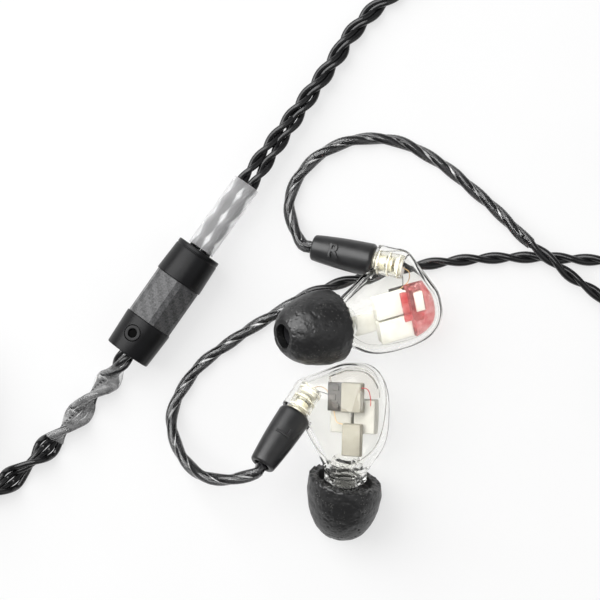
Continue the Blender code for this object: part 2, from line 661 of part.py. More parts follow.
        carry(turned(self.name("plug_pin"), pin, self.finishes["gold"], 8), holder)
        ring_in = waist + FIT_GAP
        ring_out = ring_in + RING_WALL
        ring_start = groove_end + FIT_GAP / 2
        ring = ((ring_start, ring_in), (ring_start, ring_out),
                (ring_start + RING_LENGTH, ring_out), (ring_start + RING_LENGTH, ring_in))
        snap = turned(self.name("snap_ring"), ring, self.finishes["steel"], 16)
        split = Vector((ring_out, RING_SPLIT, RING_LENGTH * 3))
        place = Vector((ring_out, 0.0, ring_start))
        carve(snap, block("split", split, place), "DIFFERENCE")
        carry(snap, holder)

    def cable_exit(self):
        """Return where the cable starts in the plug, and its heading there, in the world."""
        away = self.frame.to_3x3() @ -self.connector
        rear = SEAT_GAP + PLUG_LENGTH
        start = self.frame @ (-self.connector * (rear - CABLE_ENTRY))
        return start, away

    def build(self):
        """Make every piece of this earpiece and of its plug."""
        self.build_shell()
        self.build_drivers()
        self.build_nozzle()
        self.build_tip()
        self.build_socket()
        self.build_plug()


class Splitter:
    """The round Y splitter that the two ear cables and the main cable meet in."""

    def __init__(self, finishes):
        self.finishes = finishes
        left = Vector((0.0, 0.0, 1.0)).cross(SPLITTER_HEADING)
        turn = Matrix((left, Vector((0.0, 0.0, 1.0)), SPLITTER_HEADING)).transposed()
        foot = SPLITTER_FOOT + Vector((0.0, 0.0, SPLITTER_RADIUS))
        self.left = left
        self.frame = Matrix.Translation(foot) @ turn.to_4x4()
        self.empty = make_empty("splitter", self.frame)
        self.sleeve_start = SPLITTER_BASE_LENGTH + SEAT_GAP
        self.cap_start = self.sleeve_start + SPLITTER_SLEEVE_LENGTH + SEAT_GAP
        self.length = self.cap_start + SPLITTER_CAP_LENGTH
        self.spigot_bore = SPIGOT_RADIUS - SPIGOT_WALL

    def build_base(self):
        """Make the base, with the spigot that the sleeve and the cap go over."""
        hole = MAIN_CABLE / 2 + CABLE_HOLE_GAP
        top = self.cap_start + SPIGOT_ENTRY
        profile = (
            (0.0, hole), (0.0, SPLITTER_END_RADIUS), (SPLITTER_BASE_LENGTH, SPLITTER_RADIUS),
            (SPLITTER_BASE_LENGTH, SPIGOT_RADIUS),
            (top, SPIGOT_RADIUS), (top, self.spigot_bore), (SPLITTER_END_WALL, self.spigot_bore),
            (SPLITTER_END_WALL, hole),
        )
        base = turned("splitter_base", profile, self.finishes["anodised"], 24)
        direction = Vector((math.sin(SCREW_LEAN), math.cos(SCREW_LEAN), 0.0))
        start = Vector((0.0, 0.0, SCREW_FROM_END)) + direction * self.spigot_bore * 0.5
        carve(base, rod("screw_hole", start, direction, SPLITTER_RADIUS,
                        SCREW_RADIUS + FIT_GAP, sides=16), "DIFFERENCE")
        carry(base, self.empty)
        self.build_screw(direction)

    def build_screw(self, direction):
        """Make the set screw, with its six-sided key socket."""
        share = SCREW_FROM_END / SPLITTER_BASE_LENGTH
        top = SPLITTER_END_RADIUS + (SPLITTER_RADIUS - SPLITTER_END_RADIUS) * share
        foot = Vector((0.0, 0.0, SCREW_FROM_END))
        foot += direction * (top - SEAT_GAP / 2 - SCREW_LENGTH)
        profile = ((0.0, 0.0), (0.0, SCREW_RADIUS - FIT_GAP), (FIT_GAP, SCREW_RADIUS),
                   (SCREW_LENGTH, SCREW_RADIUS), (SCREW_LENGTH, 0.0))
        screw = turned("set_screw", profile, self.finishes["steel"], 16)
        key = rod("key", Vector((0.0, 0.0, SCREW_LENGTH - SCREW_KEY_DEPTH)), Vector((0, 0, 1)),
                  SCREW_LENGTH, SCREW_KEY_RADIUS, sides=6)
        carve(screw, key, "DIFFERENCE")
        carry(screw, self.empty, along(foot, direction))

    def build_sleeve(self):
        """Make the six-sided sleeve round the spigot."""
        form = bmesh.new()
        corner = SPLITTER_FLAT / math.cos(math.pi / 6)
        middle = self.sleeve_start + SPLITTER_SLEEVE_LENGTH / 2
        matrix = Matrix.Translation((0.0, 0.0, middle)) @ Matrix.Rotation(SPLITTER_TURN, 4, "Z")
        bmesh.ops.create_cone(form, cap_ends=True, segments=6, radius1=corner, radius2=corner,
                              depth=SPLITTER_SLEEVE_LENGTH, matrix=matrix)
        sides = [edge for edge in form.edges
                 if abs(edge.verts[0].co.z - edge.verts[1].co.z) > SPLITTER_SLEEVE_LENGTH / 2]
        bmesh.ops.bevel(form, geom=sides, offset=SPLITTER_EDGE, segments=1, profile=0.5,
                        affect="EDGES", material=-1)
        sleeve = make_object("splitter_sleeve", form, self.finishes["carbon"])
        bore = rod("sleeve_bore", Vector(), Vector((0, 0, 1)), self.length,
                   SPIGOT_RADIUS + SEAT_GAP)
        carve(sleeve, bore, "DIFFERENCE")
        carry(sleeve, self.empty)

    def build_cap(self):
        """Make the cap, with the hole for the two ear cables in its end."""
        wall = self.length - SPLITTER_END_WALL
        bore = SPIGOT_RADIUS + SEAT_GAP
        profile = (
            (wall, 0.0), (wall, bore), (self.cap_start, bore), (self.cap_start, SPLITTER_RADIUS),
            (self.length, SPLITTER_END_RADIUS), (self.length, 0.0),
        )
        cap = turned("splitter_cap", profile, self.finishes["anodised"], 24)
        for way in (-1, 1):
            start = Vector((way * LEAD_SPREAD, 0.0, wall - SPLITTER_END_WALL))
            hole = rod("lead_hole", start, Vector((0, 0, 1)), 3 * SPLITTER_END_WALL,
                       LEAD_CABLE / 2 + CABLE_HOLE_GAP, sides=12)
            carve(cap, hole, "DIFFERENCE")
        carry(cap, self.empty)

    def build_splice(self):
        """Make the potted joint of the wires inside the spigot."""
        start = self.sleeve_start
        radius = self.spigot_bore - SEAT_GAP
        profile = ((start, 0.0), (start, radius), (start + SPLICE_LENGTH, radius),
                   (start + SPLICE_LENGTH, 0.0))
        carry(turned("wire_splice", profile, self.finishes["white"], 12), self.empty)

    def lead_start(self, way):
        """Return where an ear cable starts in the cap, and its heading, in the world."""
        heading = (SPLITTER_HEADING - Vector((0.0, 0.0, LEAD_FALL))).normalized()
        face = self.frame @ Vector((way * LEAD_SPREAD, 0.0, self.length))
        return face, heading

    def build_slider(self):
        """Make the clear oval tube that slides along both ear cables."""
        face, heading = self.lead_start(0.0)
        inner = LEAD_CABLE / 2 + SLIDER_GAP
        up = heading.cross(self.left)
        turn = Matrix((self.left, up, heading)).transposed().to_4x4()
        place = Matrix.Translation(face + heading * SEAT_GAP) @ turn
        slider = None
        for wall, operation in ((SLIDER_WALL, "UNION"), (0.0, "DIFFERENCE")):
            length = SLIDER_LENGTH if wall else 3 * SLIDER_LENGTH
            start = 0.0 if wall else -SLIDER_LENGTH
            form = bmesh.new()
            for way in (-1, 1):
                middle = Vector((way * LEAD_SPREAD, 0.0, start + length / 2))
                bmesh.ops.create_cone(form, cap_ends=True, segments=16, radius1=inner + wall,
                                      radius2=inner + wall, depth=length,
                                      matrix=Matrix.Translation(middle))
            bmesh.ops.delete(form, geom=form.edges[:], context="EDGES_FACES")
            made = bmesh.ops.convex_hull(form, input=form.verts[:])
            inside = [item for item in made["geom_interior"]
                      if isinstance(item, bmesh.types.BMVert)]
            bmesh.ops.delete(form, geom=inside, context="VERTS")
            bmesh.ops.recalc_face_normals(form, faces=form.faces)
            oval = make_object("chin_slider" if wall else "slider_bore", form,
                               self.finishes["frosted"])
            slider = carve(slider, oval, operation) if slider else oval
        slider.matrix_local = place

    def build(self):
        """Make every piece of the splitter and the slider."""
        self.build_base()
        self.build_sleeve()
        self.build_cap()
        self.build_splice()
        self.build_slider()


class Jack:
    """The 3.5 mm plug at the far end of the main cable."""

    def __init__(self, finishes):
        self.finishes = finishes
        self.foot = JACK_FOOT + Vector((0.0, 0.0, JACK_RADIUS))
        self.heading = Vector((0.0, 1.0, 0.0))
        self.empty = make_empty("jack", along(self.foot, self.heading))

    def piece(self, name, profile, finish, sides=16):
        """Spin a piece of the jack about its axis."""
        return carry(turned(name, profile, self.finishes[finish], sides), self.empty)

    def build(self):
        """Make the boot, the housing and the contacts, from the cable to the tip."""
        hole = MAIN_CABLE / 2 + CABLE_HOLE_GAP
        wide = JACK_BOOT_RADIUS + 0.6 * MM
        boot = ((CABLE_ENTRY + SEAT_GAP, 0.0), (CABLE_ENTRY + SEAT_GAP, hole), (0.0, hole),
                (0.0, JACK_BOOT_RADIUS), (JACK_BOOT_LENGTH, wide), (JACK_BOOT_LENGTH, 0.0))
        self.piece("jack_boot", boot, "black")
        start = JACK_BOOT_LENGTH + SEAT_GAP
        end = start + JACK_HOUSING_LENGTH
        core = JACK_CORE_RADIUS + FIT_GAP
        socket = JACK_PIN_RADIUS + FIT_GAP
        floor = end - JACK_TAIL
        housing = ((start, 0.0), (start, JACK_RADIUS - PLUG_CHAMFER),
                   (start + PLUG_CHAMFER, JACK_RADIUS), (end - PLUG_CHAMFER, JACK_RADIUS),
                   (end, JACK_RADIUS - PLUG_CHAMFER), (end, socket), (floor, socket),
                   (floor, 0.0))
        self.piece("jack_housing", housing, "anodised", 20)
        sleeve_start = floor + SEAT_GAP
        sleeve_end = end + JACK_SLEEVE_LENGTH
        sleeve = ((sleeve_start, core), (sleeve_start, JACK_PIN_RADIUS),
                  (sleeve_end, JACK_PIN_RADIUS), (sleeve_end, core))
        self.piece("jack_sleeve", sleeve, "gold")
        first = sleeve_end + FIT_GAP
        first_end = first + JACK_INSULATOR_LENGTH
        ring = first_end + FIT_GAP
        ring_end = ring + JACK_RING_LENGTH
        second = ring_end + FIT_GAP
        second_end = second + JACK_INSULATOR_LENGTH
        contact = ((ring, core), (ring, JACK_PIN_RADIUS), (ring_end, JACK_PIN_RADIUS),
                   (ring_end, core))
        self.piece("jack_ring", contact, "gold")
        insulator = (
            (sleeve_start, 0.0), (sleeve_start, JACK_CORE_RADIUS), (first, JACK_CORE_RADIUS),
            (first, JACK_PIN_RADIUS), (first_end, JACK_PIN_RADIUS),
            (first_end, JACK_CORE_RADIUS), (second, JACK_CORE_RADIUS),
            (second, JACK_PIN_RADIUS), (second_end, JACK_PIN_RADIUS), (second_end, 0.0),
        )
        self.piece("jack_insulator", insulator, "black")
        tip = second_end + FIT_GAP
        waist = tip + 0.35 * JACK_TIP_LENGTH
        crown = tip + 0.5 * JACK_TIP_LENGTH
        point = tip + JACK_TIP_LENGTH
        nose = ((tip, 0.0), (tip, JACK_PIN_RADIUS), (waist, 0.7 * JACK_PIN_RADIUS),
                (crown, JACK_PIN_RADIUS), (point, 0.35 * JACK_PIN_RADIUS), (point, 0.0))
        self.piece("jack_tip", nose, "gold")


def route_points(route):
    """Return a route's points in metres."""
    return [Vector(point) * MM for point in route]


def cord(name, inside, points, diameter, finish):
    """Lay a plain tube from a point inside a fitting along the smooth curve through a route."""
    line = [inside] + smooth_line(points, 2.2 * diameter)
    tube(name, line, diameter, finish, 2)
    return line_length(line)


def coil(name, centre, start_angle, turns, hand, radius, diameter, finish):
    """Wind a coil, print its least gap to itself and return its two ends and length."""
    line = coil_line(centre, start_angle, turns, hand, radius, diameter)
    print(f"{name}: least gap to itself {least_gap(line, diameter) / MM:.2f} mm")
    tube(name, line, diameter, finish, 1)
    entry = line[0] + (line[0] - line[1]).normalized() * SEAT_GAP
    leave = line[-1] + (line[-1] - line[-2]).normalized() * SEAT_GAP
    return entry, leave, line_length(line)


def build_ear_cord(earpiece, splitter, way, route, lead_route, centre, start_angle, turns):
    """Lay one ear cable from its plug, through its coil, to the splitter."""
    side = earpiece.side
    finish = earpiece.finishes["cable"]
    entry, leave, wound = coil(f"{side}_ear_coil", centre, start_angle, turns, 1,
                               EAR_COIL_RADIUS, EAR_CABLE, finish)
    start, away = earpiece.cable_exit()
    straight = [start + away * CABLE_ENTRY, start + away * (CABLE_ENTRY + 0.8 * EAR_CABLE)]
    into_coil = entry - Vector((-math.sin(start_angle), math.cos(start_angle), 0.0)) * EAR_CABLE
    length = cord(f"{side}_ear_cable", start, straight + route_points(route)
                  + [into_coil, entry], EAR_CABLE, finish)
    face, heading = splitter.lead_start(way)
    run = [face + heading * (LEAD_STRAIGHT * share) for share in (0.0, 0.25, 0.5, 0.75, 1.0)]
    out_of_coil = leave + Vector((0.0, EAR_CABLE, 0.0))
    length += cord(f"{side}_ear_lead", face - heading * CABLE_ENTRY,
                   run + route_points(lead_route) + [out_of_coil, leave], LEAD_CABLE, finish)
    print(f"{side} ear cable: {(length + wound) / MM:.0f} mm")


def build_main_cord(splitter, jack, finish):
    """Lay the main cable from the splitter, through its coil, to the jack."""
    below = -math.pi / 2
    entry, leave, wound = coil("main_coil", MAIN_COIL_CENTRE, below, MAIN_COIL_TURNS, -1,
                               MAIN_COIL_RADIUS, MAIN_CABLE, finish)
    start = splitter.frame @ Vector((0.0, 0.0, CABLE_ENTRY))
    out = [start - SPLITTER_HEADING * reach for reach in
           (CABLE_ENTRY, CABLE_ENTRY + 0.4 * MAIN_CABLE)]
    length = cord("main_cable", start, out + route_points(MAIN_ROUTE) + [entry], MAIN_CABLE,
                  finish)
    end = jack.foot + jack.heading * CABLE_ENTRY
    length += cord("main_tail", end, [jack.foot] + route_points(TAIL_ROUTE) + [leave],
                   MAIN_CABLE, finish)
    print(f"main cable: {(length + wound) / MM:.0f} mm")


def build_ties(finish):
    """Strap the three coils."""
    coil_tie("left_coil_tie", LEFT_COIL_CENTRE, math.radians(90.0), LEFT_COIL_TURNS,
             EAR_COIL_RADIUS, EAR_CABLE, finish)
    coil_tie("right_coil_tie", RIGHT_COIL_CENTRE, math.radians(-90.0), RIGHT_COIL_TURNS,
             EAR_COIL_RADIUS, EAR_CABLE, finish)
    coil_tie("main_coil_tie", MAIN_COIL_CENTRE, math.radians(90.0), MAIN_COIL_TURNS,
             MAIN_COIL_RADIUS, MAIN_CABLE, finish)


def make_finishes():
    """Return the finishes of the pieces by name."""
    return {
        "clear": make_finish("clear_shell", (0.93, 0.94, 0.94), 0.05, transmission=0.9),
        "frosted": make_finish("frosted_tube", (0.86, 0.87, 0.88), 0.35, transmission=0.6),
        "steel": make_finish("driver_can", (0.72, 0.70, 0.66), 0.3, 0.9),
        "red": make_finish("red_cradle", (0.45, 0.05, 0.06), 0.35),
        "board": make_finish("crossover_board", (0.10, 0.08, 0.07), 0.6),
        "gold": make_finish("gold_plate", (0.83, 0.62, 0.28), 0.25, 1.0),
        "white": make_finish("white_insulator", (0.85, 0.84, 0.82), 0.5),
        "smoke": make_finish("smoke_plastic", (0.20, 0.20, 0.21), 0.35),
        "foam": make_finish("charcoal_foam", (0.05, 0.05, 0.055), 0.95),
        "black": make_finish("satin_black", (0.02, 0.02, 0.022), 0.4),
        "anodised": make_finish("black_anodised", (0.03, 0.03, 0.035), 0.35, 0.6),
        "carbon": make_finish("carbon_sleeve", (0.06, 0.06, 0.065), 0.25),
        "cable": make_finish("black_cable", (0.025, 0.025, 0.03), 0.45),
    }


def main():
    """Build the whole set."""
    clear_scene()
    finishes = make_finishes()
    left = Earpiece("left", 1, LEFT_MOUTH, LEFT_TURN, LEFT_TIP_STANDOFF, finishes)
    right = Earpiece("right", -1, RIGHT_MOUTH, RIGHT_TURN, RIGHT_TIP_STANDOFF, finishes)
    left.build()
    right.build()
    splitter = Splitter(finishes)
    splitter.build()
    jack = Jack(finishes)
    jack.build()
    build_ear_cord(right, splitter, 1, RIGHT_EAR_ROUTE, RIGHT_LEAD_ROUTE, RIGHT_COIL_CENTRE,
                   math.pi, RIGHT_COIL_TURNS)
    build_ear_cord(left, splitter, -1, LEFT_EAR_ROUTE, LEFT_LEAD_ROUTE, LEFT_COIL_CENTRE,
                   -math.pi / 2, LEFT_COIL_TURNS)
    build_main_cord(splitter, jack, finishes["cable"])
    build_ties(finishes["black"])


main()
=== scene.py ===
"""Looks of the in-ear monitors: clear shells, foam tips, twisted cables, splitter and jack.

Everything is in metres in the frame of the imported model. An earpiece is drawn once, as the
left one, in a frame of its own: the mouth of its cable socket is at zero and +Z is the
outward normal of its faceplate. The right one is its mirror image in X. Sizes that several
sub-assemblies share stand at the top, and each class holds its own.
"""

from __future__ import annotations

import logging
import math
from dataclasses import dataclass
from enum import Enum
from typing import Callable, Iterable, Sequence

import bmesh
import bpy
from mathutils import Euler, Matrix, Vector, noise

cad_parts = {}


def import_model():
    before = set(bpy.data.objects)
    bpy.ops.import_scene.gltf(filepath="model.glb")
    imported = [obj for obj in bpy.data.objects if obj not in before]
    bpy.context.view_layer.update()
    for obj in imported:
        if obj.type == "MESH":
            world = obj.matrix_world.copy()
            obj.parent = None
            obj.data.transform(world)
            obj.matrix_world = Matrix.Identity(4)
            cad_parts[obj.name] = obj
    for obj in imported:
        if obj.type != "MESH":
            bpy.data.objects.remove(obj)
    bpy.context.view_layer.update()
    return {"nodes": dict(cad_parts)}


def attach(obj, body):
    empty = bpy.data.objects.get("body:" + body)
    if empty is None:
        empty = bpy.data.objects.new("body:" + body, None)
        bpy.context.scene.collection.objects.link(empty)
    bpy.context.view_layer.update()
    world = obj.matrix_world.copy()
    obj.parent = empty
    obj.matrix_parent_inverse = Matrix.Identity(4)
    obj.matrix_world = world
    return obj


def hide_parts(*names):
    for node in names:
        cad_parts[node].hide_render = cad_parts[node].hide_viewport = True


LOG = logging.getLogger("in_ear_monitors")

BMesh = bmesh.types.BMesh
Mesh = bpy.types.Mesh
NodeSocket = bpy.types.NodeSocket
Piece = bpy.types.Object
Point = tuple[float, float]
Profile = Sequence[Point]
Route = Sequence[tuple[float, float, float]]
Colour = tuple[float, float, float]

MM = 0.001
UP = Vector((0.0, 0.0, 1.0))

# Working values: what counts as one point, how a curve is cut up, and a noise's usual range
WELD = 1e-7
NO_LENGTH = 1e-12
CURVE_STEPS = 24
CORNER_SHARE = 0.45
NOISE_LOW = 0.3
NOISE_HIGH = 0.7

# Clearances
SEAT_GAP = 0.3 * MM
FIT_GAP = 0.1 * MM

# Earpiece
SHELL_CENTRE = Vector((8.47, 0.0, -2.88)) * MM
CONNECTOR_AXIS = Vector((0.334, 0.771, -0.543)).normalized()
NOZZLE_AXIS = Vector((-0.139, -0.957, -0.253)).normalized()
NOZZLE_FOOT = Vector((7.41, -9.0, -3.27)) * MM
NOZZLE_RADIUS = 1.6 * MM
NOZZLE_BEAD = 0.15 * MM
NOZZLE_FLANGE_LENGTH = 0.8 * MM
COLLAR_LIP = 0.8 * MM
WOOFER_SIZE = Vector((3.7, 5.6, 2.2)) * MM
WOOFER_BACK = -3.2 * MM
CRADLE_SIZE = Vector((8.4, 4.6, 3.0)) * MM
CRADLE_LIP = Vector((5.2, 2.2, 0.5)) * MM
CRADLE_WINDOW = Vector((3.4, 1.7)) * MM
CRADLE_RAIL = 0.5 * MM
DRIVER_DECK = 0.12 * MM
SOCKET_WALL = 0.45 * MM
SOCKET_BORE = 1.5 * MM
SOCKET_LENGTH = 4.3 * MM
PLUG_LENGTH = 10.4 * MM
PLUG_RADIUS = 2.75 * MM

# Cables and coils
EAR_CABLE = 2.0 * MM
LEAD_CABLE = 1.75 * MM
MAIN_CABLE = 3.0 * MM
CABLE_ENTRY = 1.7 * MM
EAR_COIL_RADIUS = 13.1 * MM
MAIN_COIL_RADIUS = 22.1 * MM
LEFT_COIL_CENTRE = Vector((56.6, 34.7, 0.0)) * MM
RIGHT_COIL_CENTRE = Vector((56.6, -1.2, 0.0)) * MM
MAIN_COIL_CENTRE = Vector((-83.5, -1.5, 0.0)) * MM
RIGHT_SHRINK = 62.0 * MM
LEFT_SHRINK = 58.0 * MM
MAIN_SHRINK = 21.0 * MM
MAIN_FLAT = 40.0 * MM

# Splitter
SPLITTER_RADIUS = 4.1 * MM
SPLITTER_CAP_LENGTH = 6.07 * MM
SPLITTER_SLEEVE_LENGTH = 7.63 * MM
SPLITTER_BASE_LENGTH = 6.2 * MM
SPLITTER_FOOT = Vector((-37.1, 6.5, 0.0)) * MM
SPLITTER_HEADING = Vector((0.575, 0.8185, 0.0)).normalized()
LEAD_SPREAD = 0.98 * MM

# Free stretches of cable, in millimetres, from the plug or splitter to the coil
RIGHT_EAR_ROUTE = (
    (-9.45, 25.8, 1.8), (-10.3, 27.85, 1.45), (-10.8, 30.8, 1.1), (-10.0, 33.9, 1.05),
    (-8.5, 36.3, 1.05), (-6.45, 38.45, 1.05), (-3.95, 40.0, 1.05), (-1.3, 41.1, 1.05),
    (1.65, 41.6, 1.05), (4.7, 41.55, 1.05), (7.8, 40.9, 1.05), (10.8, 39.45, 1.05),
    (13.75, 37.7, 1.05), (16.4, 35.75, 1.1), (19.15, 33.35, 1.3), (21.95, 30.9, 1.8),
    (24.6, 28.3, 2.4), (27.1, 25.7, 3.1), (31.2, 22.2, 3.6), (35.5, 18.8, 3.1),
    (38.3, 17.0, 2.7), (40.5, 15.2, 2.4), (42.5, 12.6, 2.1), (43.5, 8.8, 1.8),
)
LEFT_EAR_ROUTE = (
    (-20.2, -13.5, 10.9), (-23.5, -13.4, 9.0), (-26.2, -12.2, 6.8), (-28.7, -9.2, 4.1),
    (-30.0, -5.0, 2.0), (-29.4, -1.6, 1.2), (-27.5, 1.8, 1.05), (-24.8, 5.0, 1.05),
    (-20.4, 8.3, 1.05), (-16.5, 10.9, 1.05), (-12.9, 13.0, 1.05), (-9.0, 15.4, 1.05),
    (-5.7, 16.9, 1.05), (-1.3, 18.3, 1.05), (5.0, 19.9, 1.05), (10.5, 20.9, 1.05),
    (16.15, 21.6, 1.05), (19.55, 21.9, 1.05), (22.95, 22.1, 1.05), (28.7, 22.2, 1.05),
    (35.3, 21.95, 1.05), (40.2, 21.7, 1.2), (46.5, 21.6, 1.6),
)
RIGHT_LEAD_ROUTE = (
    (-2.5, 58.4, 1.4), (-0.3, 61.0, 1.2), (2.2, 63.6, 1.1), (4.1, 65.3, 1.06),
    (6.7, 67.3, 1.05), (11.0, 69.8, 1.05), (16.9, 71.8, 1.05), (23.8, 72.5, 1.05),
    (31.5, 72.5, 1.05), (40.5, 72.0, 1.05), (50.5, 70.2, 1.05), (60.5, 65.8, 1.05),
    (68.5, 57.8, 1.05), (72.9, 47.8, 1.05), (73.8, 37.8, 1.05), (73.8, 29.8, 1.1),
    (73.3, 20.8, 1.7), (71.7, 12.8, 2.9), (70.1, 6.8, 3.9),
)
LEFT_LEAD_ROUTE = (
    (-0.5, 56.9, 1.4), (1.7, 59.4, 1.2), (3.9, 61.8, 1.1), (5.7, 63.3, 1.06),
    (8.1, 65.1, 1.05), (12.0, 67.3, 1.05), (17.5, 69.2, 1.05), (23.8, 69.9, 1.05),
    (31.5, 69.8, 1.05), (40.5, 69.0, 1.05), (49.5, 66.6, 1.08), (58.5, 62.0, 1.15),
    (65.0, 55.8, 1.5), (68.7, 47.8, 2.6), (69.7, 40.8, 3.9),
)
MAIN_ROUTE = (
    (-40.3, 2.1, 2.7), (-43.0, -0.5, 1.9), (-45.4, -3.7, 1.5), (-48.4, -6.8, 1.5),
    (-50.7, -9.2, 1.5), (-53.4, -11.7, 1.5), (-56.4, -14.2, 1.5), (-59.5, -16.8, 1.5),
    (-63.5, -19.7, 1.6), (-69.5, -22.4, 1.9), (-75.5, -23.4, 2.1),
)
TAIL_ROUTE = ((-105.6, 13.5, 3.45), (-105.6, 10.0, 4.1), (-105.6, 6.0, 5.2))

# Fine wires in a shell, in millimetres, in the left earpiece's frame
RED_WIRE_ROUTE = ((10.55, 4.3, -1.3), (11.2, 4.35, -1.1), (11.75, 3.9, -1.3), (11.95, 2.6, -1.7),
                  (11.8, 1.5, -2.2))
COPPER_WIRE_ROUTE = ((1.6, 3.5, -2.5), (2.4, 4.1, -3.2), (4.0, 3.6, -3.0), (5.2, 1.4, -2.5),
                     (6.0, -1.2, -2.2), (7.2, -1.7, -2.2))
DARK_WIRE_ROUTE = ((1.6, 3.4, -2.4), (2.3, 3.2, -1.9), (3.4, 3.4, -1.6), (4.6, 3.0, -2.0),
                   (5.2, 2.6, -2.2))

# Nodes of the jack, which end the main cable
JACK_NODES = ("jack_boot", "jack_housing", "jack_sleeve", "jack_ring", "jack_tip",
              "jack_insulator")


class Body(str, Enum):
    """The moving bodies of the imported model."""

    SET = "set"
    RIGHT_PLUG = "right_plug"
    LEFT_PLUG = "left_plug"
    RIGHT_TIP = "right_tip"
    LEFT_TIP = "left_tip"
    SLIDER = "slider"
    SCREW = "screw"


class Crease(Enum):
    """The angle in degrees above which a piece's edges stay sharp."""

    FACETED = 25.0
    TURNED = 32.0
    CAST = 60.0
    CORD = 80.0
    SMOOTH = 180.0


class Join(str, Enum):
    """What a working form does to another."""

    ADD = "UNION"
    CUT = "DIFFERENCE"
    KEEP = "INTERSECT"


@dataclass(frozen=True)
class Side:
    """One earpiece's hand and how it lies on the table.

    Attributes:
        name: The side's name, which starts its nodes' names.
        hand: 1 for the left earpiece and -1 for its mirror image.
        mouth: The socket's mouth on the table.
        turn: The turn of the earpiece's own frame.
        standoff: How far the tip's back stands off the collar.
        slant: How far the tip's back is cut at a slant.
        letter: Where the plug's letter is, as a share of the plug's length.
        plug: The body that its plug's pieces ride on.
        tip: The body that its tip's pieces ride on.
    """

    name: str
    hand: int
    mouth: Vector
    turn: Euler
    standoff: float
    slant: float
    letter: float
    plug: Body
    tip: Body

    @property
    def frame(self) -> Matrix:
        """Return the matrix from the earpiece's own frame to the table."""
        return Matrix.Translation(self.mouth) @ self.turn.to_matrix().to_4x4()

    def flip(self, vector: Vector) -> Vector:
        """Mirror a vector of the left earpiece for this side."""
        return Vector((vector.x * self.hand, vector.y, vector.z))


def degrees(*angles: float) -> Euler:
    """Return a turn given in degrees."""
    return Euler([math.radians(angle) for angle in angles])


LEFT = Side("left", 1, mouth=Vector((-9.5, -2.88, 8.03)) * MM, turn=degrees(2.7, -21.9, -2.3),
            standoff=1.6 * MM, slant=0.9 * MM, letter=0.42, plug=Body.LEFT_PLUG,
            tip=Body.LEFT_TIP)
RIGHT = Side("right", -1, mouth=Vector((3.29, 21.48, 5.18)) * MM,
             turn=degrees(-164.3, -15.9, 101.7), standoff=1.15 * MM, slant=0.0, letter=0.62,
             plug=Body.RIGHT_PLUG, tip=Body.RIGHT_TIP)


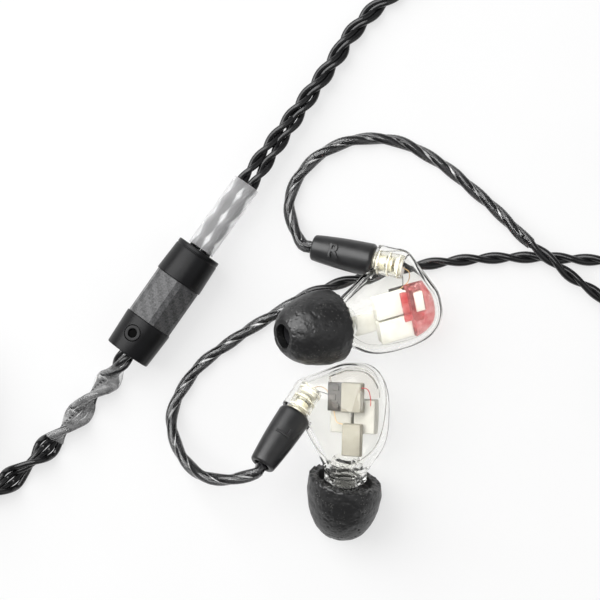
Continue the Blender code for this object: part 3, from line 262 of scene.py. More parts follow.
class NodeBench:
    """Builds one material's node tree."""

    def __init__(self, name: str) -> None:
        """Start an empty tree."""
        self.material = bpy.data.materials.new(name)
        self.material.use_nodes = True
        self.tree = self.material.node_tree
        self.tree.nodes.clear()
        self.coords = self.add("ShaderNodeTexCoord").outputs["Object"]

    def add(self, kind: str, sockets: dict | None = None, **settings: object) -> bpy.types.Node:
        """Add a node.

        Args:
            kind: The node's type.
            sockets: Values or outputs for its inputs, by name or number.
            **settings: Values for its own properties.

        Returns:
            The new node.
        """
        node = self.tree.nodes.new(kind)
        for key, value in settings.items():
            setattr(node, key, value)
        for key, value in (sockets or {}).items():
            if isinstance(value, NodeSocket):
                self.tree.links.new(value, node.inputs[key])
            else:
                node.inputs[key].default_value = value
        return node

    def grain(self, scale: float, detail: float = 3.0) -> NodeSocket:
        """Return a noise value."""
        sockets = {"Vector": self.coords, "Scale": scale, "Detail": detail}
        return self.add("ShaderNodeTexNoise", sockets).outputs["Fac"]

    def cells(self, scale: float) -> NodeSocket:
        """Return the distance to the nearest cell of a Voronoi pattern."""
        sockets = {"Vector": self.coords, "Scale": scale}
        return self.add("ShaderNodeTexVoronoi", sockets).outputs["Distance"]

    def spread(self, value: NodeSocket, low: float, high: float) -> NodeSocket:
        """Return a value between two numbers, from a noise."""
        sockets = {"Value": value, "From Min": NOISE_LOW, "From Max": NOISE_HIGH,
                   "To Min": low, "To Max": high}
        return self.add("ShaderNodeMapRange", sockets).outputs["Result"]

    def ramp(self, value: NodeSocket,
             stops: Iterable[tuple[float, Colour]]) -> NodeSocket:
        """Return a colour that follows a value.

        Args:
            value: The value.
            stops: Two or more places from 0 to 1 and their colours.
        """
        node = self.add("ShaderNodeValToRGB", {"Fac": value})
        elements = node.color_ramp.elements
        while len(elements) > 1:
            elements.remove(elements[-1])
        for number, (place, colour) in enumerate(stops):
            element = elements[0] if number == 0 else elements.new(place)
            element.position = place
            element.color = (*colour, 1.0)
        return node.outputs["Color"]

    def bump(self, height: NodeSocket, depth: float) -> NodeSocket:
        """Return a normal for a height."""
        sockets = {"Height": height, "Distance": depth, "Strength": 1.0}
        return self.add("ShaderNodeBump", sockets).outputs["Normal"]

    def math(self, operation: str, *values: object) -> NodeSocket:
        """Return the result of a math node on values or sockets."""
        return self.add("ShaderNodeMath", dict(enumerate(values)),
                        operation=operation).outputs["Value"]

    def dot(self, direction: Vector) -> NodeSocket:
        """Return how far a point is along a direction."""
        node = self.add("ShaderNodeVectorMath", {0: self.coords, 1: direction[:]},
                        operation="DOT_PRODUCT")
        return node.outputs["Value"]

    def principled(self, **sockets: object) -> NodeSocket:
        """Return a Principled shader. A word's underscores stand for spaces."""
        named = {key.replace("_", " "): value for key, value in sockets.items()}
        return self.add("ShaderNodeBsdfPrincipled", named).outputs["BSDF"]

    def let_light_in(self, shader: NodeSocket, share: float,
                     tint: Colour) -> NodeSocket:
        """Return a clear shader that lets lamps through to what is behind it."""
        path = self.add("ShaderNodeLightPath")
        through = self.math("MULTIPLY", path.outputs["Is Shadow Ray"], share)
        clear = self.add("ShaderNodeBsdfTransparent", {"Color": (*tint, 1.0)})
        mix = {0: through, 1: shader, 2: clear.outputs["BSDF"]}
        return self.add("ShaderNodeMixShader", mix).outputs["Shader"]

    def finish(self, shader: NodeSocket) -> bpy.types.Material:
        """Connect the shader to the output and return the material."""
        self.add("ShaderNodeOutputMaterial", {"Surface": shader})
        return self.material


@dataclass(frozen=True)
class Finish:
    """A surface that pieces are made of."""

    name: str
    slot: str

    def shade(self, bench: NodeBench) -> NodeSocket:
        """Return the shader that this finish is seen with, built on a bench."""
        raise NotImplementedError

    def make(self) -> bpy.types.Material:
        """Return the finish's material, made once.

        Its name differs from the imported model's own materials, which are loaded before it.
        """
        label = f"{self.name}_finish"
        known = bpy.data.materials.get(label)
        if known:
            return known
        bench = NodeBench(label)
        return bench.finish(self.shade(bench))


@dataclass(frozen=True)
class ClearFinish(Finish):
    """Clear or milky plastic with a slightly uneven surface."""

    tint: Colour = (0.97, 0.975, 0.97)
    haze: float = 0.02
    haze_spread: float = 0.15
    body: float = 1.0
    cloud: float = 0.0
    ripple: float = 0.0
    shadow: float = 0.9
    index: float = 1.46
    haze_grain: float = 900.0
    cloud_grain: float = 420.0
    ripple_grain: float = 300.0

    def shade(self, bench: NodeBench) -> NodeSocket:
        """Return the clear shader."""
        rough = bench.spread(bench.grain(self.haze_grain), self.haze * (1.0 - self.haze_spread),
                             self.haze * (1.0 + self.haze_spread))
        through = bench.spread(bench.grain(self.cloud_grain, 2.0), self.body - self.cloud,
                               self.body)
        sockets = {"Base_Color": (*self.tint, 1.0), "Roughness": rough, "IOR": self.index,
                   "Transmission_Weight": through}
        if self.ripple > 0.0:
            sockets["Normal"] = bench.bump(bench.grain(self.ripple_grain, 1.0), self.ripple)
        return bench.let_light_in(bench.principled(**sockets), self.shadow, self.tint)


@dataclass(frozen=True)
class SolidFinish(Finish):
    """A solid surface whose colour and roughness vary a little, with a fine relief."""

    dark: Colour = (0.02, 0.02, 0.02)
    light: Colour = (0.03, 0.03, 0.03)
    rough: tuple[float, float] = (0.3, 0.45)
    metal: float = 0.0
    grain: float = 6000.0
    relief: float = 0.01 * MM
    coat: float = 0.0
    coat_rough: float = 0.2
    shine: float = 0.5
    cloud_grain: float = 420.0

    def shade(self, bench: NodeBench) -> NodeSocket:
        """Return the solid shader."""
        cloud = bench.grain(self.cloud_grain, 4.0)
        fine = bench.grain(self.grain, 2.0)
        colour = bench.ramp(cloud, ((NOISE_LOW, self.dark), (NOISE_HIGH, self.light)))
        return bench.principled(Base_Color=colour, Roughness=bench.spread(cloud, *self.rough),
                                Metallic=self.metal, Specular_IOR_Level=self.shine,
                                Coat_Weight=self.coat, Coat_Roughness=self.coat_rough,
                                Normal=bench.bump(fine, self.relief))


@dataclass(frozen=True)
class ResinFinish(Finish):
    """Red cast resin that light goes a little way into."""

    deep: Colour = (0.74, 0.10, 0.11)
    thin: Colour = (0.97, 0.58, 0.58)
    lit: Colour = (0.97, 0.8, 0.8)
    rough: tuple[float, float] = (0.12, 0.28)
    body: float = 0.88
    shadow: float = 0.8
    index: float = 1.45
    grain: float = 700.0
    relief: float = 0.04 * MM

    def shade(self, bench: NodeBench) -> NodeSocket:
        """Return the resin's shader."""
        cloud = bench.grain(self.grain, 3.0)
        colour = bench.ramp(cloud, ((NOISE_LOW, self.deep), (NOISE_HIGH, self.thin)))
        shader = bench.principled(Base_Color=colour, Roughness=bench.spread(cloud, *self.rough),
                                  Transmission_Weight=self.body, IOR=self.index,
                                  Normal=bench.bump(cloud, self.relief))
        return bench.let_light_in(shader, self.shadow, self.lit)


@dataclass(frozen=True)
class FoamFinish(Finish):
    """Open charcoal foam with fine pores and pits; the darker pore tone is painted shade and the
    pale flecks are painted sparkle.
    """

    # The pore colour is painted shade in the pores, and the fleck colour a painted sparkle.
    painted_pore_shade: Colour = (0.003, 0.003, 0.0035)
    wall: Colour = (0.009, 0.009, 0.0095)
    painted_sparkle: Colour = (0.14, 0.14, 0.13)
    fine_grain: float = 6500.0
    patch_grain: float = 300.0
    sparkle_grain: float = 2300.0
    sparkle_size: float = 0.2
    pit_grain: float = 1500.0
    pit_slope: float = 2.2
    rough: float = 0.40
    shine: float = 0.8
    relief: float = 0.06 * MM

    def shade(self, bench: NodeBench) -> NodeSocket:
        """Return the foam's shader."""
        fine = bench.grain(self.fine_grain, 4.0)
        patch = bench.spread(bench.grain(self.patch_grain, 3.0), -0.4, 1.3)
        # Clustered pale flecks: painted sparkle on the foam.
        spot = bench.math("LESS_THAN", bench.cells(self.sparkle_grain), self.sparkle_size)
        sparkle_mask = bench.math("MULTIPLY", spot, patch)
        tone = bench.math("MULTIPLY_ADD", sparkle_mask, 0.5, bench.math("MULTIPLY", fine, 0.7))
        colour = bench.ramp(tone, ((0.22, self.painted_pore_shade), (0.5, self.wall), (0.85, self.painted_sparkle)))
        slope = bench.math("MULTIPLY", bench.cells(self.pit_grain), self.pit_slope)
        dips = bench.math("MINIMUM", slope, 1.0)
        pits = bench.math("MULTIPLY", dips, bench.math("MAXIMUM", patch, 0.0))
        height = bench.math("MULTIPLY_ADD", fine, 0.3, bench.math("MULTIPLY", pits, 0.8))
        return bench.principled(Base_Color=colour, Roughness=self.rough,
                                Specular_IOR_Level=self.shine,
                                Normal=bench.bump(height, self.relief))


@dataclass(frozen=True)
class CarbonFinish(Finish):
    """Carbon cloth under clear lacquer, a two by two twill."""

    along: Vector = SPLITTER_HEADING
    across: Vector = Vector((SPLITTER_HEADING.y, -SPLITTER_HEADING.x, 0.0))
    tow: float = 0.55 * MM
    dark: Colour = (0.018, 0.018, 0.019)
    light: Colour = (0.125, 0.125, 0.128)
    rough: tuple[float, float] = (0.55, 0.32)
    fibre_grain: float = 3800.0
    shine: float = 0.3
    coat: float = 0.1
    coat_rough: float = 0.2
    relief: float = 0.03 * MM

    def shade(self, bench: NodeBench) -> NodeSocket:
        """Return the lacquered cloth's shader."""
        ways = [bench.math("DIVIDE", bench.dot(way), self.tow)
                for way in (self.along, self.across)]
        steps = [bench.math("FLOOR", way) for way in ways]
        phase = bench.math("FLOORED_MODULO", bench.math("ADD", *steps), 4.0)
        over = bench.math("LESS_THAN", phase, 2.0)
        fibre = bench.math("MULTIPLY", bench.grain(self.fibre_grain, 4.0), 1.1)
        blotch = bench.math("MULTIPLY_ADD", over, 0.16, fibre)
        colour = bench.ramp(blotch, ((0.25, self.dark), (0.9, self.light)))
        sockets = {"Value": blotch, "To Min": self.rough[0], "To Max": self.rough[1]}
        rough = bench.add("ShaderNodeMapRange", sockets).outputs["Result"]
        return bench.principled(Base_Color=colour, Roughness=rough,
                                Specular_IOR_Level=self.shine, Coat_Weight=self.coat,
                                Coat_Roughness=self.coat_rough,
                                Normal=bench.bump(blotch, self.relief))


CLEAR_SHELL = ClearFinish("clear_shell", "clear_shell", tint=(0.982, 0.980, 0.962), haze=0.012,
                          ripple=0.035 * MM, shadow=1.0, index=1.27)
SEAM_BOND = ClearFinish("seam_bond", "clear_shell", tint=(0.62, 0.62, 0.59), haze=0.1,
                        shadow=0.8)
CLEAR_TUBE = ClearFinish("clear_tube", "smoke_plastic", tint=(0.985, 0.985, 0.97), haze=0.03,
                         shadow=0.95, index=1.08)
CLEAR_SHRINK = ClearFinish("clear_shrink", "frosted_tube", tint=(0.97, 0.97, 0.97), haze=0.04,
                           ripple=0.03 * MM, shadow=0.9)
CLOUDY_SHRINK = ClearFinish("cloudy_shrink", "frosted_tube", tint=(0.98, 0.98, 0.98), haze=0.06,
                            cloud=0.36, ripple=0.03 * MM, shadow=0.9)
# Pale strands in the ear cables' valleys: a painted highlight for the light caught in the clear
# shrink.
PAINTED_VALLEY_GLINT = SolidFinish("painted_valley_glint", "frosted_tube", (0.03, 0.03, 0.03),
                           (0.72, 0.72, 0.72), (0.25, 0.4))
FROSTED_TUBE = ClearFinish("frosted_tube", "frosted_tube", tint=(0.95, 0.95, 0.952), haze=0.42,
                           body=0.9, shadow=0.9, index=1.22)
SILVER_CAN = SolidFinish("silver_can", "driver_can", (0.235, 0.222, 0.182), (0.315, 0.298, 0.25),
                         (0.55, 0.7), relief=0.006 * MM)
PALE_CAN = SolidFinish("pale_can", "driver_can", (0.41, 0.40, 0.365), (0.50, 0.49, 0.455),
                       (0.55, 0.7), relief=0.006 * MM)
CREAM_CAN = SolidFinish("cream_can", "driver_can", (0.70, 0.685, 0.62), (0.84, 0.83, 0.78),
                        (0.4, 0.55), relief=0.006 * MM)
DARK_PART = SolidFinish("dark_part", "circuit_board", (0.010, 0.010, 0.010),
                        (0.10, 0.09, 0.08), (0.35, 0.6), relief=0.02 * MM)
RED_RESIN = ResinFinish("red_resin", "red_cradle")
CLEAR_RESIN = ClearFinish("clear_resin", "red_cradle", tint=(0.97, 0.95, 0.93), haze=0.08,
                          ripple=0.06 * MM, index=1.12)
GOLD = SolidFinish("gold_plate", "gold_plate", (0.70, 0.48, 0.20), (0.92, 0.72, 0.40),
                   (0.16, 0.32), metal=1.0, relief=0.006 * MM)
PALE_GOLD = SolidFinish("pale_gold", "gold_plate", (0.82, 0.78, 0.64), (0.95, 0.93, 0.84),
                        (0.2, 0.34), metal=0.3, relief=0.006 * MM)
PALE_RESIN = ClearFinish("pale_resin", "gold_plate", tint=(0.985, 0.975, 0.92), haze=0.04,
                         ripple=0.03 * MM, shadow=0.95, index=1.25)
WHITE_INSULATOR = SolidFinish("white_insulator", "white_insulator", (0.72, 0.71, 0.69),
                              (0.88, 0.87, 0.85), (0.4, 0.55))
SMOKE = SolidFinish("smoke_plastic", "smoke_plastic", (0.02, 0.02, 0.022), (0.05, 0.05, 0.055),
                    (0.3, 0.5))
FOAM = FoamFinish("charcoal_foam", "charcoal_foam")
SATIN_BLACK = SolidFinish("satin_black", "satin_black", (0.013, 0.013, 0.0135),
                          (0.022, 0.022, 0.023), (0.32, 0.42), grain=9000.0, relief=0.012 * MM,
                          shine=0.65)
ANODISED = SolidFinish("black_anodised", "black_anodised", (0.003, 0.003, 0.0035),
                       (0.006, 0.006, 0.007), (0.30, 0.40), grain=14000.0, shine=0.25)
# Near-black finish for the painted shade in the set screw's key socket.
KEY_SHADE = SolidFinish("key_shade", "black_anodised", (0.001, 0.001, 0.001),
                        (0.003, 0.003, 0.003), (0.8, 0.95), shine=0.1)
CARBON = CarbonFinish("carbon_sleeve", "carbon_sleeve")
SHEATH = SolidFinish("black_cable", "black_cable", (0.004, 0.004, 0.0045), (0.010, 0.010, 0.011),
                     (0.2, 0.3), grain=3000.0, relief=0.010 * MM, coat=0.2)
STEEL = SolidFinish("bright_steel", "driver_can", (0.42, 0.42, 0.42), (0.60, 0.60, 0.59),
                    (0.22, 0.4), metal=1.0)
RED_WIRE = SolidFinish("red_wire", "red_cradle", (0.42, 0.015, 0.02), (0.6, 0.03, 0.035),
                       (0.3, 0.45))
COPPER_WIRE = SolidFinish("copper_wire", "gold_plate", (0.62, 0.40, 0.18), (0.80, 0.58, 0.30),
                          (0.25, 0.4), metal=0.9)
STRAP = SolidFinish("woven_strap", "satin_black", (0.006, 0.006, 0.006), (0.02, 0.02, 0.02),
                    (0.75, 0.95), grain=4200.0, relief=0.10 * MM)


def along(point: Vector, direction: Vector) -> Matrix:
    """Return the matrix that puts zero at a point and +Z along a direction."""
    return Matrix.Translation(point) @ direction.to_track_quat("Z", "Y").to_matrix().to_4x4()


def as_mesh(name: str, form: BMesh) -> Mesh:
    """Return a bmesh as a mesh, and free the bmesh."""
    mesh = bpy.data.meshes.new(name)
    form.to_mesh(mesh)
    form.free()
    return mesh


def link(name: str, data: bpy.types.ID) -> Piece:
    """Return a new object in the scene."""
    obj = bpy.data.objects.new(name, data)
    bpy.context.collection.objects.link(obj)
    return obj


def loose(name: str, form: BMesh) -> Piece:
    """Return a working object that isn't a piece, and free its bmesh."""
    return link(name, as_mesh(name, form))


def publish(name: str, form: BMesh, finish: Finish, body: Body, nodes: Sequence[str] = (),
            crease: Crease = Crease.TURNED) -> Piece:
    """Turn a bmesh into a piece that rides on a body.

    Args:
        name: The piece's name.
        form: Its mesh, in place, which is freed.
        finish: What it is made of.
        body: What it rides on.
        nodes: The CAD nodes that it stands for.
        crease: Which of its edges stay sharp.

    Returns:
        The new object.
    """
    mesh = as_mesh(name, form)
    mesh.shade_smooth()
    if crease is not Crease.SMOOTH:
        mesh.set_sharp_from_angle(angle=math.radians(crease.value))
    mesh.materials.append(finish.make())
    obj = link(name, mesh)
    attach(obj, body.value)
    if nodes:
        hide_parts(*nodes)
    LOG.info("%s in %s, on %s", name, finish.name, body.value)
    return obj


def bake(obj: Piece) -> Mesh:
    """Return a mesh of an object with its modifiers, and take the object away."""
    bpy.context.view_layer.update()
    graph = bpy.context.evaluated_depsgraph_get()
    mesh = bpy.data.meshes.new_from_object(obj.evaluated_get(graph))
    bpy.data.objects.remove(obj, do_unlink=True)
    return mesh


def combine(obj: Piece, tools: Sequence[tuple[Piece, Join]], voxel: float = 0.0,
            rounds: int = 0) -> Mesh:
    """Join working forms to another or cut it with them, and take them all away.

    Args:
        obj: The form that is worked on.
        tools: The other forms and what each does to it.
        voxel: The grain that it is cast again in, or zero to keep its faces.
        rounds: How many times the cast is smoothed.

    Returns:
        The mesh that results.
    """
    for tool, join in tools:
        modifier = obj.modifiers.new(join.value, "BOOLEAN")
        modifier.operation = join.value
        modifier.solver = "EXACT"
        modifier.object = tool
    if voxel > 0.0:
        remesh = obj.modifiers.new("remesh", "REMESH")
        remesh.mode = "VOXEL"
        remesh.voxel_size = voxel
        smooth = obj.modifiers.new("smooth", "SMOOTH")
        smooth.factor = 0.5
        smooth.iterations = rounds
    mesh = bake(obj)
    for tool, _ in tools:
        bpy.data.objects.remove(tool, do_unlink=True)
    return mesh


def absorb(form: BMesh, part: BMesh) -> None:
    """Put a part into a bmesh as it is, and free the part."""
    mesh = as_mesh("part", part)
    form.from_mesh(mesh)
    bpy.data.meshes.remove(mesh)


def merge(form: BMesh, part: BMesh, place: Matrix) -> None:
    """Put a part into a bmesh at a place, with its faces outward, and free the part."""
    bmesh.ops.transform(part, matrix=place, verts=part.verts)
    bmesh.ops.recalc_face_normals(part, faces=part.faces)
    absorb(form, part)


def add_turned(form: BMesh, profile: Profile, place: Matrix, sides: int = 64) -> None:
    """Spin a profile of (height, radius) points about Z into a bmesh.

    Args:
        form: The bmesh that takes it.
        profile: The points. If it starts and ends on the axis it stays open there.
        place: Where the axis goes.
        sides: How many steps it turns in.
    """
    part = bmesh.new()
    verts = [part.verts.new((radius, 0.0, height)) for height, radius in profile]
    for first, second in zip(verts, verts[1:]):
        part.edges.new((first, second))
    if profile[0][1] > 0.0 or profile[-1][1] > 0.0:
        part.edges.new((verts[-1], verts[0]))
    bmesh.ops.spin(part, geom=part.verts[:] + part.edges[:], axis=UP, cent=(0, 0, 0),
                   dvec=(0, 0, 0), angle=math.tau, steps=sides, use_merge=True,
                   use_duplicate=False)
    bmesh.ops.remove_doubles(part, verts=part.verts, dist=WELD)
    merge(form, part, place)


def add_block(form: BMesh, size: Vector, place: Matrix, bevel: float) -> None:
    """Put a box with rounded edges into a bmesh.

    Args:
        form: The bmesh that takes it.
        size: The box's size.
        place: Where its middle goes.
        bevel: How far its edges are rounded, or zero to leave them sharp.
    """
    part = bmesh.new()
    bmesh.ops.create_cube(part, size=1.0)
    bmesh.ops.scale(part, vec=size, verts=part.verts)
    if bevel > 0.0:
        bmesh.ops.bevel(part, geom=part.edges[:], offset=bevel, segments=3, profile=0.5,
                        affect="EDGES", material=-1)
    merge(form, part, place)


def rounded(profile: Profile, radius: float, steps: int) -> list[Point]:
    """Return a profile whose corners are rounded.

    Args:
        profile: Points of (height, radius).
        radius: The largest radius of a corner.
        steps: How many pieces a corner has.
    """
    points = [Vector(point) for point in profile]
    line = [points[0]]
    for before, corner, after in zip(points, points[1:], points[2:]):
        back = before - corner
        ahead = after - corner
        reach = min(radius, back.length * CORNER_SHARE, ahead.length * CORNER_SHARE)
        start = corner + back.normalized() * reach
        end = corner + ahead.normalized() * reach
        for step in range(steps + 1):
            share = step / steps
            line.append(start.lerp(corner, share).lerp(corner.lerp(end, share), share))
    line.append(points[-1])
    return [tuple(point) for point in line]


def smooth_line(points: Sequence[Vector], spacing: float) -> list[Vector]:
    """Return points at an even spacing on a smooth curve through a route's points.

    Args:
        points: The route's points.
        spacing: About how far apart the new points are.
    """
    ends = [points[0] * 2 - points[1], *points, points[-1] * 2 - points[-2]]
    fine: list[Vector] = []
    for before, start, end, after in zip(ends, ends[1:], ends[2:], ends[3:]):
        for step in range(CURVE_STEPS):
            t = step / CURVE_STEPS
            fine.append(0.5 * (2 * start + (end - before) * t
                               + (2 * before - 5 * start + 4 * end - after) * t * t
                               + (3 * start - before - 3 * end + after) * t ** 3))
    fine.append(points[-1].copy())
    return even_line(fine, spacing)


def even_line(points: Sequence[Vector], spacing: float) -> list[Vector]:
    """Return points at an even spacing along a line of straight pieces.

    Args:
        points: The line.
        spacing: About how far apart the new points are.
    """
    reach = [0.0]
    for first, second in zip(points, points[1:]):
        reach.append(reach[-1] + (second - first).length)
    count = max(2, round(reach[-1] / spacing))
    line = []
    place = 0
    for number in range(count + 1):
        goal = reach[-1] * number / count
        while place < len(reach) - 2 and reach[place + 1] < goal:
            place += 1
        span = max(reach[place + 1] - reach[place], NO_LENGTH)
        line.append(points[place].lerp(points[place + 1], (goal - reach[place]) / span))
    return line


def line_length(points: Sequence[Vector]) -> float:
    """Return the length of a line of points."""
    return sum((second - first).length for first, second in zip(points, points[1:]))


def tangents(line: Sequence[Vector]) -> list[Vector]:
    """Return the unit tangent at each point of a line."""
    last = len(line) - 1
    return [(line[min(number + 1, last)] - line[max(number - 1, 0)]).normalized()
            for number in range(len(line))]


def carried_normals(line: Sequence[Vector]) -> list[Vector]:
    """Return a normal at each point of a line that turns no more than the line does."""
    ways = tangents(line)
    upright = 0.1
    side = UP.cross(ways[0])
    if side.length < upright:
        side = Vector((1.0, 0.0, 0.0)).cross(ways[0])
    normals = [side.normalized()]
    for before, after in zip(ways, ways[1:]):
        turned = before.rotation_difference(after) @ normals[-1]
        normals.append((turned - after * turned.dot(after)).normalized())
    return normals


def level_normals(line: Sequence[Vector]) -> list[Vector]:
    """Return the level sideways direction at each point of a line."""
    return [UP.cross(way).normalized() for way in tangents(line)]


def circle(radius: float, sides: int) -> list[Point]:
    """Return points round a circle."""
    angles = [math.tau * side / sides for side in range(sides)]
    return [(radius * math.cos(angle), radius * math.sin(angle)) for angle in angles]


def stadium(half: float, radius: float, angle: float, steps: int = 7) -> list[Point]:
    """Return the outline of two rounds side by side, turned by an angle.

    Args:
        half: Half of the distance between the rounds' middles.
        radius: Their radius.
        angle: The turn.
        steps: How many pieces a half round has.
    """
    points = []
    for end, middle in enumerate((half, -half)):
        for step in range(steps + 1):
            bend = math.pi * (step / steps - 0.5 + end)
            x = middle + radius * math.cos(bend)
            y = radius * math.sin(bend)
            points.append((x * math.cos(angle) - y * math.sin(angle),
                           x * math.sin(angle) + y * math.cos(angle)))
    return points


def add_sweep(form: BMesh, line: Sequence[Vector], normals: Sequence[Vector],
              section: Callable[[int], Sequence[Point]],
              capped: bool = True) -> list[list[bmesh.types.BMVert]]:
    """Sweep a section along a line into a bmesh.

    Args:
        form: The bmesh that takes it.
        line: The points that it follows.
        normals: The section's first axis at each point.
        section: Returns the section's points for a point's number.
        capped: Whether its ends are closed.

    Returns:
        The rings of vertices, one to a point.
    """
    rings = []
    for number, (point, way, normal) in enumerate(zip(line, tangents(line), normals)):
        other = way.cross(normal)
        rings.append([form.verts.new(point + normal * x + other * y)
                      for x, y in section(number)])
    for first, second in zip(rings, rings[1:]):
        bridge(form, first, second)
    if capped:
        form.faces.new(reversed(rings[0]))
        form.faces.new(rings[-1])
    return rings


def bridge(form: BMesh, first: Sequence[bmesh.types.BMVert],
           second: Sequence[bmesh.types.BMVert]) -> None:
    """Put a band of faces between two rings of vertices."""
    for side, vert in enumerate(first):
        after = (side + 1) % len(first)
        form.faces.new((vert, first[after], second[after], second[side]))


def add_tube(form: BMesh, line: Sequence[Vector], radius: float | Callable[[int], float],
             sides: int) -> None:
    """Sweep a capped round tube along a line into a bmesh."""
    add_sweep(form, line, carried_normals(line),
              lambda number: circle(radius(number) if callable(radius) else radius, sides))


def route_points(route: Route) -> list[Vector]:
    """Return a route's points in metres."""
    return [Vector(point) * MM for point in route]


def ease(share: float) -> float:
    """Return a share from 0 to 1, eased at both ends."""
    share = min(max(share, 0.0), 1.0)
    return share * share * (3.0 - 2.0 * share)


@dataclass(frozen=True)
class Coil:
    """A cable's spare length, wound in and out again in two layers."""

    centre: Vector
    start_angle: float
    turns: float
    hand: int
    radius: float
    diameter: float
    gap: float = 0.55 * MM
    slack: float = 0.9
    climb: float = 0.5
    strap: float = 0.4 * MM
    angle_step: float = math.radians(15.0)

    def line(self) -> list[Vector]:
        """Return the points of the coil, with a short straight end on each side."""
        pitch = (self.diameter + self.gap) / self.slack
        inward = (self.turns - self.climb) / 2
        base = self.diameter / 2 + self.strap + SEAT_GAP
        count = round(self.turns * math.tau / self.angle_step)
        line = []
        for number in range(count + 1):
            turn = self.turns * number / count
            lift = ease((turn - inward) / self.climb)
            outward = max(turn - inward - self.climb, 0.0)
            reach = self.radius - pitch * min(turn, inward) + pitch * outward
            angle = self.start_angle + self.hand * math.tau * turn
            line.append(self.centre + Vector((reach * math.cos(angle), reach * math.sin(angle),
                                              base + pitch * lift)))
        return [line[0] - self.tangent(0.0) * self.diameter, *line,
                line[-1] + self.tangent(self.turns) * self.diameter]

    def tangent(self, turn: float) -> Vector:
        """Return the direction that the cable runs in after a number of turns."""
        angle = self.start_angle + self.hand * math.tau * turn
        return Vector((-math.sin(angle), math.cos(angle), 0.0)) * self.hand


LEFT_COIL = Coil(LEFT_COIL_CENTRE, -math.pi / 2, 2.25, 1, EAR_COIL_RADIUS, EAR_CABLE)
RIGHT_COIL = Coil(RIGHT_COIL_CENTRE, math.pi, 1.5, 1, EAR_COIL_RADIUS, EAR_CABLE)
MAIN_COIL = Coil(MAIN_COIL_CENTRE, -math.pi / 2, 6.25, -1, MAIN_COIL_RADIUS, MAIN_CABLE)


@dataclass
class SplitterFrame:
    """Where the splitter lies and where the cables leave it."""

    lead_fall: float = 0.065

    def __post_init__(self) -> None:
        """Work the frame out from the splitter's foot and heading."""
        self.left = UP.cross(SPLITTER_HEADING)
        turn = Matrix((self.left, UP, SPLITTER_HEADING)).transposed()
        foot = SPLITTER_FOOT + UP * SPLITTER_RADIUS
        self.matrix = Matrix.Translation(foot) @ turn.to_4x4()
        self.sleeve_start = SPLITTER_BASE_LENGTH + SEAT_GAP
        self.cap_start = self.sleeve_start + SPLITTER_SLEEVE_LENGTH + SEAT_GAP
        self.length = self.cap_start + SPLITTER_CAP_LENGTH
        self.lead_way = (SPLITTER_HEADING - UP * self.lead_fall).normalized()

    def lead_face(self, way: float) -> Vector:
        """Return where an ear cable leaves the cap: 1 for the right one, -1 for the left."""
        return self.matrix @ Vector((way * LEAD_SPREAD, 0.0, self.length))


class EarTwist:
    """How the two wires of an ear cable turn about its line."""

    def __init__(self, cables: Cables, line: Sequence[Vector]) -> None:
        """Work out the turn at each point, from the splitter back to the plug.

        Args:
            cables: The twist's sizes.
            line: The cable's line, from the plug to the splitter.
        """
        self.line = line
        self.normals = carried_normals(line)
        self.ways = tangents(line)
        reaches = [(len(line) - 1 - number) * cables.step for number in range(len(line))]
        self.leads = [1.0 - ease(reach / cables.lead_reach * 2.0 - 1.0) for reach in reaches]
        self.nears = [cables.nearness(reach) for reach in reaches]
        level = UP.cross(self.ways[-1])
        last = self.normals[-1]
        self.angles = [math.atan2(self.ways[-1].cross(last).dot(level), last.dot(level))]
        for lead in reversed(self.leads[1:]):
            pitch = cables.pair_pitch + (cables.lead_pitch - cables.pair_pitch) * lead
            self.angles.append(self.angles[-1] - math.tau * cables.step / pitch)
        self.angles.reverse()

    def blend(self, number: int, plain: float, lead: float, joined: float) -> float:
        """Return a size at a point, from the cable's, the lead's and the joined leads' own."""
        size = plain + (lead - plain) * self.leads[number]
        return size + (joined - size) * self.nears[number]

    def offset(self, number: int, turn: float, across: float, above: float) -> Vector:
        """Return where a wire is from the line at a point."""
        angle = self.angles[number] + turn
        normal = self.normals[number]
        return (normal * across * math.cos(angle)
                + self.ways[number].cross(normal) * above * math.sin(angle))


